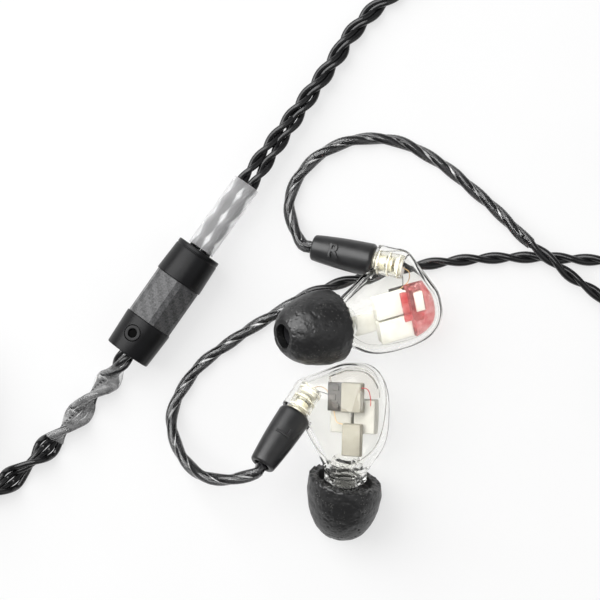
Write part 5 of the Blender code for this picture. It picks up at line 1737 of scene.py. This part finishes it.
@dataclass
class FoamTip(EarPart):
    """The foam tip, with open pores and a ragged cut edge, and its core tube.

    The sizes of the foam's uneven surface are in millimetres, and their scales are features
    to a millimetre.
    """

    length: float = 9.9 * MM
    radius: float = 6.2 * MM
    nose_radius: float = 2.7 * MM
    fullness: float = 2.35
    arc_steps: int = 32
    arc_from: int = 4
    back_edge: tuple[Point, ...] = ((0.0, 0.55 * MM), (0.3 * MM, 0.25 * MM))
    mouth_radius: float = 1.8 * MM
    mouth_flare: float = 0.15 * MM
    lip: float = 1.3 * MM
    recess_radius: float = 4.4 * MM
    recess_depth: float = 1.8 * MM
    recess_draft: float = 0.2 * MM
    core_wall: float = 0.3 * MM
    core_gap: float = 0.15 * MM
    core_edge: float = 0.08 * MM
    slant_share: float = 0.4
    spacing: float = 0.22 * MM
    sides: int = 176
    fill: float = 0.9
    swell_scale: float = 0.9
    swell_depth: float = 0.07
    pit_scale: float = 2.6
    pit_shift: Vector = Vector((7.0, 3.0, 1.0))
    pit_from: float = 0.25
    pit_depth: float = 0.3
    rag_scale: float = 1.5
    rag_layer: float = 4.0
    rag_height: float = 0.9
    rag_depth: float = 0.38

    def build(self) -> None:
        """Make the foam and its core."""
        bore = NOZZLE_RADIUS + NOZZLE_BEAD + FIT_GAP
        core = bore + self.core_wall
        shelf = self.length - self.lip
        place = self.on_axis(NOZZLE_FOOT + NOZZLE_AXIS * self.side.standoff, NOZZLE_AXIS)
        form = bmesh.new()
        add_turned(form, self.dense(self.profile(core + self.core_gap, shelf)),
                   Matrix.Identity(4), self.sides)
        self.roughen(form)
        self.slant(form, place)
        self.settle(form, place)
        foam = publish(self.name("foam"), form, FOAM, self.side.tip, self.node("tip_foam"),
                       Crease.SMOOTH)
        start = self.recess_depth - SEAT_GAP
        end = shelf - SEAT_GAP
        tube = rounded(((start, bore), (start, core), (end, core), (end, bore)), self.core_edge, 2)
        self.turned("core", tube, SMOKE, place, "tip_core", self.side.tip, 48)

    def profile(self, pocket: float, shelf: float) -> list[Point]:
        """Return the foam's closed outline.

        Args:
            pocket: The radius of the pocket for the core.
            shelf: The height of the pocket's end.
        """
        power = 2.0 / self.fullness
        last = math.acos((self.nose_radius / self.radius) ** (1.0 / power))
        outside = [(height, self.radius - inset) for height, inset in self.back_edge]
        for number in range(self.arc_from, self.arc_steps + 1):
            angle = last * number / self.arc_steps
            outside.append((self.length * (math.sin(angle) / math.sin(last)) ** power,
                            self.radius * math.cos(angle) ** power))
        return [(shelf, self.mouth_radius), (shelf, pocket), (self.recess_depth, pocket),
                (self.recess_depth, self.recess_radius - self.recess_draft),
                (0.0, self.recess_radius), *outside,
                (self.length, self.mouth_radius + self.mouth_flare)]

    def dense(self, profile: Profile) -> list[Point]:
        """Return a closed profile with points at most a spacing apart."""
        points = [Vector(point) for point in profile]
        line = []
        for first, second in zip(points, points[1:] + points[:1]):
            steps = max(1, math.ceil((second - first).length / self.spacing))
            line += [tuple(first.lerp(second, step / steps)) for step in range(steps)]
        return line

    def slant(self, form: BMesh, place: Matrix) -> None:
        """Cut the foam's back at a slant."""
        lean = place.to_3x3().inverted() @ Vector((-self.side.slant, 0.0, 0.0))
        for vert in form.verts:
            back = max(0.0, 1.0 - max(vert.co.z, 0.0) / (self.length * self.slant_share))
            vert.co.z -= back * (vert.co.x * lean.x + vert.co.y * lean.y) / self.radius

    def roughen(self, form: BMesh) -> None:
        """Give the foam its uneven surface, pits and a ragged back edge."""
        form.normal_update()
        moves = []
        for vert in form.verts:
            point = vert.co / MM
            swell = self.swell_depth * (noise.noise(point * self.swell_scale) - 1.0)
            pit = noise.noise(point * self.pit_scale + self.pit_shift)
            depth = swell - self.pit_depth * max(0.0, pit - self.pit_from)
            back = max(0.0, 1.0 - abs(point.z) / self.rag_height)
            edge = Vector((point.x * self.rag_scale, point.y * self.rag_scale, self.rag_layer))
            ragged = self.rag_depth * back * noise.noise(edge)
            moves.append(vert.normal * depth * MM + UP * ragged * MM)
        for vert, move in zip(form.verts, moves):
            vert.co += move


@dataclass
class CableSocket(EarPart):
    """The pale socket with its gold rings, and the insulator at its floor."""

    edge: float = 0.06 * MM
    ring_heights: tuple[float, ...] = (0.5 * MM, 2.2 * MM, 3.9 * MM)
    ring_width: float = 0.18 * MM
    ring_step: float = 0.05 * MM
    insulator_length: float = 1.2 * MM
    insulator_bore: float = 0.4 * MM

    def build(self) -> None:
        """Make the socket, its rings and the insulator."""
        outside = SOCKET_BORE + SOCKET_WALL
        end = SEAT_GAP + SOCKET_LENGTH
        place = self.on_axis(Vector((0.0, 0.0, 0.0)), CONNECTOR_AXIS)
        profile = rounded(((SEAT_GAP, SOCKET_BORE), (SEAT_GAP, outside), (end, outside),
                           (end, SOCKET_BORE)), self.edge, 2)
        self.turned("socket", profile, PALE_RESIN, place, "socket_shell")
        form = bmesh.new()
        for height in self.ring_heights:
            top = height + self.ring_width
            proud = outside + self.ring_step
            ring = ((height, SOCKET_BORE), (height, proud), (top, proud), (top, SOCKET_BORE))
            add_turned(form, ring, place, 48)
        publish(self.name("socket_rings"), form, PALE_GOLD, Body.SET)
        disc = SOCKET_BORE - FIT_GAP
        floor = end - self.insulator_length
        hole = self.insulator_bore
        insulator = ((floor, hole), (floor, disc), (end, disc), (end, hole))
        self.turned("insulator", insulator, WHITE_INSULATOR, place, "socket_insulator", sides=40)


@dataclass
class Plug(EarPart):
    """The plug's housing with its raised letter. Its contacts stay as they are."""

    rear_radius: float = 2.1 * MM
    chamfer: float = 0.4 * MM
    rear_chamfer: float = 0.25 * MM
    edge: float = 0.25 * MM
    bulge: float = 0.14 * MM
    bulge_shares: tuple[float, ...] = (0.15, 0.3, 0.45, 0.6, 0.75, 0.88)
    pocket: float = 1.3 * MM
    barrel_root: float = 4.2 * MM
    letter_size: float = 3.2 * MM
    letter_rise: float = 0.2 * MM
    letter_edge: float = 0.08 * MM

    def build(self) -> None:
        """Make the housing."""
        place = self.on_axis(Vector((0.0, 0.0, 0.0)), -CONNECTOR_AXIS)
        front = SEAT_GAP
        rear = front + PLUG_LENGTH
        hole = EAR_CABLE / 2 + SEAT_GAP
        floor = self.barrel_root + SEAT_GAP
        neck = rear - CABLE_ENTRY - SEAT_GAP
        profile = rounded((
            (floor, 0.0), (floor, self.pocket), (front, self.pocket),
            (front, PLUG_RADIUS - self.chamfer), (front + self.chamfer, PLUG_RADIUS),
            *((front + share * PLUG_LENGTH, self.radius(share)) for share in self.bulge_shares),
            (rear - self.rear_chamfer, self.rear_radius),
            (rear, self.rear_radius - self.rear_chamfer), (rear, hole), (neck, hole), (neck, 0.0),
        ), self.edge, 5)
        form = bmesh.new()
        add_turned(form, profile, place, 96)
        self.add_letter(form, place)
        publish(self.name("housing"), form, SATIN_BLACK, self.side.plug,
                self.node("plug_housing"))

    def radius(self, share: float) -> float:
        """Return the housing's radius at a share of its length: a cone with a slight bulge."""
        bulge = self.bulge * math.sin(math.pi * share)
        return PLUG_RADIUS + (self.rear_radius - PLUG_RADIUS) * share + bulge

    def add_letter(self, form: BMesh, place: Matrix) -> None:
        """Put the raised letter of the side on top of the housing.

        Args:
            form: The housing's bmesh, which takes the letter.
            place: Where the plug's axis goes.
        """
        curve = bpy.data.curves.new("letter", "FONT")
        curve.body = self.side.name[0].upper()
        curve.size = self.letter_size
        curve.extrude = self.letter_rise
        curve.bevel_depth = self.letter_edge
        curve.align_x = "CENTER"
        curve.align_y = "CENTER"
        part = bmesh.new()
        part.from_mesh(bake(link("letter", curve)))
        bmesh.ops.triangulate(part, faces=part.faces)
        bmesh.ops.subdivide_edges(part, edges=part.edges, cuts=2)
        top = place.to_3x3().inverted() @ UP
        start = math.atan2(top.y, top.x)
        for vert in part.verts:
            share = self.side.letter - vert.co.x / PLUG_LENGTH
            radius = self.radius(share)
            angle = start + vert.co.y / radius
            reach = radius + vert.co.z
            vert.co = Vector((reach * math.cos(angle), reach * math.sin(angle),
                              SEAT_GAP + share * PLUG_LENGTH))
        merge(form, part, place)


@dataclass
class Earpiece:
    """One clear shell with its drivers, socket, nozzle and tip, and the cable's plug."""

    side: Side
    forms: ShellForm

    def build(self) -> None:
        """Make every piece of this earpiece and of its plug."""
        for part in (Shell(self.side, self.forms), Drivers(self.side, self.forms),
                     Wiring(self.side), Nozzle(self.side), FoamTip(self.side),
                     CableSocket(self.side), Plug(self.side)):
            part.build()


@dataclass
class Splitter:
    """The Y splitter with its carbon sleeve and set screw, and the chin slider."""

    frame: SplitterFrame
    end_radius: float = 3.82 * MM
    spigot_radius: float = 2.6 * MM
    spigot_wall: float = 0.7 * MM
    spigot_length: float = 3.0 * MM
    base_floor: float = 2.0 * MM
    base_edge: float = 0.22 * MM
    sleeve_flat: float = 3.76 * MM
    sleeve_edge: float = 0.55 * MM
    sleeve_turn: float = math.radians(68.0)
    sleeve_gap: float = 0.03 * MM
    screw_radius: float = 1.3 * MM
    screw_length: float = 1.6 * MM
    screw_edge: float = 0.1 * MM
    screw_from_end: float = 3.4 * MM
    screw_lean: float = math.radians(16.5)
    key_radius: float = 0.75 * MM
    key_depth: float = 0.9 * MM
    key_gap: float = 0.05 * MM
    key_sunk: float = 0.25 * MM
    groove_back: float = 0.9 * MM
    groove_front: float = 0.6 * MM
    groove_slope: float = 0.08 * MM
    groove_depth: float = 0.06 * MM
    groove_flare: float = 0.04 * MM
    cap_edge: float = 0.2 * MM
    slider_length: float = 13.0 * MM
    slider_wall: float = 0.17 * MM
    slider_gap: float = 0.23 * MM
    slider_pieces: int = 16
    slider_steps: int = 12
    sides: int = 96

    def build_base(self) -> None:
        """Make the base with the spigot and the hole for the set screw."""
        hole = MAIN_CABLE / 2 + SEAT_GAP
        top = self.frame.cap_start + self.spigot_length
        bore = self.spigot_radius - self.spigot_wall
        profile = rounded((
            (self.base_floor, hole), (0.0, hole), (0.0, self.end_radius),
            (SPLITTER_BASE_LENGTH, SPLITTER_RADIUS), (SPLITTER_BASE_LENGTH, self.spigot_radius),
            (top, self.spigot_radius), (top, bore), (self.base_floor, bore),
        ), self.base_edge, 3)
        form = bmesh.new()
        add_turned(form, profile, Matrix.Identity(4), self.sides)
        direction = Vector((math.sin(self.screw_lean), math.cos(self.screw_lean), 0.0))
        start = UP * self.screw_from_end + direction * bore / 2
        drill = rod(start, direction, SPLITTER_RADIUS, self.screw_radius + FIT_GAP)
        mesh = combine(loose("base", form), ((drill, Join.CUT),))
        form = bmesh.new()
        form.from_mesh(mesh)
        bmesh.ops.transform(form, matrix=self.frame.matrix, verts=form.verts)
        publish("splitter_foot", form, ANODISED, Body.SET, ("splitter_base",))
        self.build_screw(direction)

    def build_screw(self, direction: Vector) -> None:
        """Make the set screw with its six-sided key socket, and a near-black hexagon in the socket
        as painted shade.
        """
        share = self.screw_from_end / SPLITTER_BASE_LENGTH
        surface = self.end_radius + (SPLITTER_RADIUS - self.end_radius) * share
        reach = surface - SEAT_GAP / 2 - self.screw_length
        place = self.frame.matrix @ along(UP * self.screw_from_end + direction * reach, direction)
        top = self.screw_length
        floor = top - self.key_depth
        profile = rounded((
            (floor, 0.0), (floor, self.key_radius), (top, self.key_radius),
            (top, self.screw_radius), (0.0, self.screw_radius), (0.0, 0.0),
        ), self.screw_edge, 2)
        form = bmesh.new()
        add_turned(form, profile, place, 48)
        publish("grub_screw", form, ANODISED, Body.SCREW, ("set_screw",))
        # A near-black hexagon in the key socket: painted shade in the hole.
        low = floor + self.key_gap
        high = top - self.key_sunk
        radius = self.key_radius - self.key_gap
        form = bmesh.new()
        add_turned(form, ((low, 0.0), (low, radius), (high, radius), (high, 0.0)), place, 6)
        publish("grub_key_shade", form, KEY_SHADE, Body.SCREW)

    def build_sleeve(self) -> None:
        """Make the six-sided carbon sleeve, with an edge on top."""
        corner = self.sleeve_flat / math.cos(math.pi / 6)
        length = SPLITTER_SLEEVE_LENGTH + 2 * (SEAT_GAP - self.sleeve_gap)
        middle = UP * (self.frame.sleeve_start + SPLITTER_SLEEVE_LENGTH / 2)
        place = Matrix.Translation(middle) @ Matrix.Rotation(self.sleeve_turn, 4, "Z")
        part = bmesh.new()
        bmesh.ops.create_cone(part, cap_ends=True, segments=6, radius1=corner, radius2=corner,
                              depth=length, matrix=place)
        edges = [edge for edge in part.edges
                 if abs(edge.verts[0].co.z - edge.verts[1].co.z) > length / 2]
        bmesh.ops.bevel(part, geom=edges, offset=self.sleeve_edge, segments=1, profile=0.5,
                        affect="EDGES", material=-1)
        form = bmesh.new()
        merge(form, part, self.frame.matrix)
        publish("splitter_weave", form, CARBON, Body.SET, ("splitter_sleeve",), Crease.FACETED)

    def build_cap(self) -> None:
        """Make the cap, with the groove below its lip and the round end."""
        start = self.frame.cap_start
        end = self.frame.length
        back = end - self.groove_back
        front = end - self.groove_front
        floor = self.end_radius - self.groove_depth
        profile = rounded((
            (start, 0.0), (start, SPLITTER_RADIUS), (back, self.end_radius + self.groove_flare),
            (back + self.groove_slope, floor), (front - self.groove_slope, floor),
            (front, self.end_radius), (end, self.end_radius), (end, 0.0),
        ), self.cap_edge, 3)
        form = bmesh.new()
        add_turned(form, profile, self.frame.matrix, self.sides)
        publish("splitter_head", form, ANODISED, Body.SET, ("splitter_cap",))

    def build_slider(self) -> None:
        """Make the frosted oval tube over both ear cables."""
        heading = self.frame.lead_way
        face = self.frame.lead_face(0.0) + heading * SEAT_GAP
        line = [face + heading * (self.slider_length * number / self.slider_pieces)
                for number in range(self.slider_pieces + 1)]
        inner = LEAD_CABLE / 2 + self.slider_gap
        form = bmesh.new()
        walls = []
        for radius in (inner + self.slider_wall, inner):
            section = stadium(LEAD_SPREAD, radius, 0.0, self.slider_steps)
            walls.append(add_sweep(form, line, [self.frame.left] * len(line),
                                   lambda number: section, capped=False))
        for end in (0, -1):
            bridge(form, walls[0][end], walls[1][end])
        bmesh.ops.recalc_face_normals(form, faces=form.faces)
        publish("chin_tube", form, FROSTED_TUBE, Body.SLIDER, ("chin_slider",))

    def build(self) -> None:
        """Make every piece of the splitter and the slider."""
        self.build_base()
        self.build_sleeve()
        self.build_cap()
        self.build_slider()


@dataclass(frozen=True)
class Lamp:
    """A square lamp that points at the middle of the view."""

    name: str
    place: Vector
    size: float
    power: float

    def build(self, goal: Vector) -> None:
        """Put the lamp into the scene."""
        data = bpy.data.lights.new(self.name, "AREA")
        data.shape = "SQUARE"
        data.size = self.size
        data.energy = self.power
        lamp = link(self.name, data)
        lamp.location = self.place
        lamp.rotation_euler = (goal - self.place).to_track_quat("-Z", "Y").to_euler()


@dataclass
class Studio:
    """The table, the light and the camera, which looks straight down."""

    camera_at: Vector = Vector((-9.01, 15.22, 450.0)) * MM
    half_width: float = 49.2 * MM
    clip_start: float = 0.01
    table_size: float = 1.2
    table_drop: float = 0.02 * MM
    table_grain: float = 60.0
    table_dark: Colour = (0.88, 0.88, 0.88)
    table_light: Colour = (0.9, 0.9, 0.9)
    table_rough: float = 0.7
    table_shine: float = 0.2
    table_glow: float = 0.66
    sky: float = 0.2
    sky_through: float = 0.85
    lamps: tuple[Lamp, ...] = (
        Lamp("key", Vector((-0.5, 0.36, 0.55)), 0.8, 8.4),
        Lamp("fill", Vector((0.45, -0.1, 0.5)), 0.6, 0.5),
        Lamp("top", Vector((-0.08, 0.12, 0.95)), 0.35, 1.8),
    )

    def build_table(self) -> None:
        """Make the white table, which keeps the shadows."""
        form = bmesh.new()
        bmesh.ops.create_grid(form, x_segments=1, y_segments=1, size=self.table_size)
        bmesh.ops.translate(form, vec=UP * -self.table_drop, verts=form.verts)
        mesh = as_mesh("table", form)
        bench = NodeBench("white_table")
        paper = bench.ramp(bench.grain(self.table_grain), ((NOISE_LOW, self.table_dark),
                                                           (NOISE_HIGH, self.table_light)))
        matt = bench.principled(Base_Color=paper, Roughness=self.table_rough,
                                Specular_IOR_Level=self.table_shine)
        glow = bench.add("ShaderNodeEmission", {"Color": (1.0, 1.0, 1.0, 1.0), "Strength": 1.0})
        path = bench.add("ShaderNodeLightPath")
        seen = bench.math("MAXIMUM", path.outputs["Is Camera Ray"],
                          bench.math("MAXIMUM", path.outputs["Is Glossy Ray"],
                                     path.outputs["Is Transmission Ray"]))
        share = bench.math("MULTIPLY", seen, self.table_glow)
        mix = bench.add("ShaderNodeMixShader", {0: share, 1: matt, 2: glow.outputs["Emission"]})
        mesh.materials.append(bench.finish(mix.outputs["Shader"]))
        link("table", mesh)

    def build_light(self) -> None:
        """Light the table softly, with the key from the upper left."""
        world = bpy.data.worlds.new("studio")
        world.use_nodes = True
        tree = world.node_tree
        background = tree.nodes["Background"]
        background.inputs["Color"].default_value = (1.0, 1.0, 1.0, 1.0)
        path = tree.nodes.new("ShaderNodeLightPath")
        share = tree.nodes.new("ShaderNodeMapRange")
        share.inputs["To Min"].default_value = self.sky
        share.inputs["To Max"].default_value = self.sky_through
        tree.links.new(path.outputs["Is Transmission Ray"], share.inputs["Value"])
        tree.links.new(share.outputs["Result"], background.inputs["Strength"])
        bpy.context.scene.world = world
        for lamp in self.lamps:
            lamp.build(Vector((self.camera_at.x, self.camera_at.y, 0.0)))

    def build_camera(self) -> None:
        """Put the camera straight above the table."""
        data = bpy.data.cameras.new("camera")
        data.angle = 2.0 * math.atan(self.half_width / self.camera_at.z)
        data.clip_start = self.clip_start
        camera = link("camera", data)
        camera.location = self.camera_at
        bpy.context.scene.camera = camera
        bpy.context.scene.view_settings.view_transform = "Standard"

    def build(self) -> None:
        """Make the whole studio."""
        self.build_table()
        self.build_light()
        self.build_camera()


CARRIED = {
    "jack_boot": SATIN_BLACK, "jack_housing": ANODISED, "jack_sleeve": GOLD, "jack_ring": GOLD,
    "jack_tip": GOLD, "jack_insulator": SATIN_BLACK, "wire_splice": WHITE_INSULATOR,
    "right_coil_tie": STRAP, "left_coil_tie": STRAP, "main_coil_tie": STRAP,
    "right_plug_barrel": PALE_GOLD, "left_plug_barrel": PALE_GOLD, "right_plug_pin": GOLD,
    "left_plug_pin": GOLD, "right_snap_ring": STEEL, "left_snap_ring": STEEL,
}


def carry_over(nodes: dict[str, Piece]) -> None:
    """Give the CAD nodes that stay in the picture their finishes."""
    for name, finish in CARRIED.items():
        mesh = nodes[name].data
        mesh.materials.clear()
        mesh.materials.append(finish.make())
        LOG.info("%s in %s, as packed", name, finish.name)


def main() -> None:
    """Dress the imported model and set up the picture."""
    logging.basicConfig(level=logging.INFO, format="%(name)s: %(message)s")
    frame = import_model()
    Studio().build()
    carry_over(frame["nodes"])
    splitter_frame = SplitterFrame()
    Cables(splitter_frame).build([frame["nodes"][name] for name in JACK_NODES])
    Splitter(splitter_frame).build()
    forms = ShellForm()
    for side in (LEFT, RIGHT):
        Earpiece(side, forms).build()


if __name__ == "__main__":
    main()
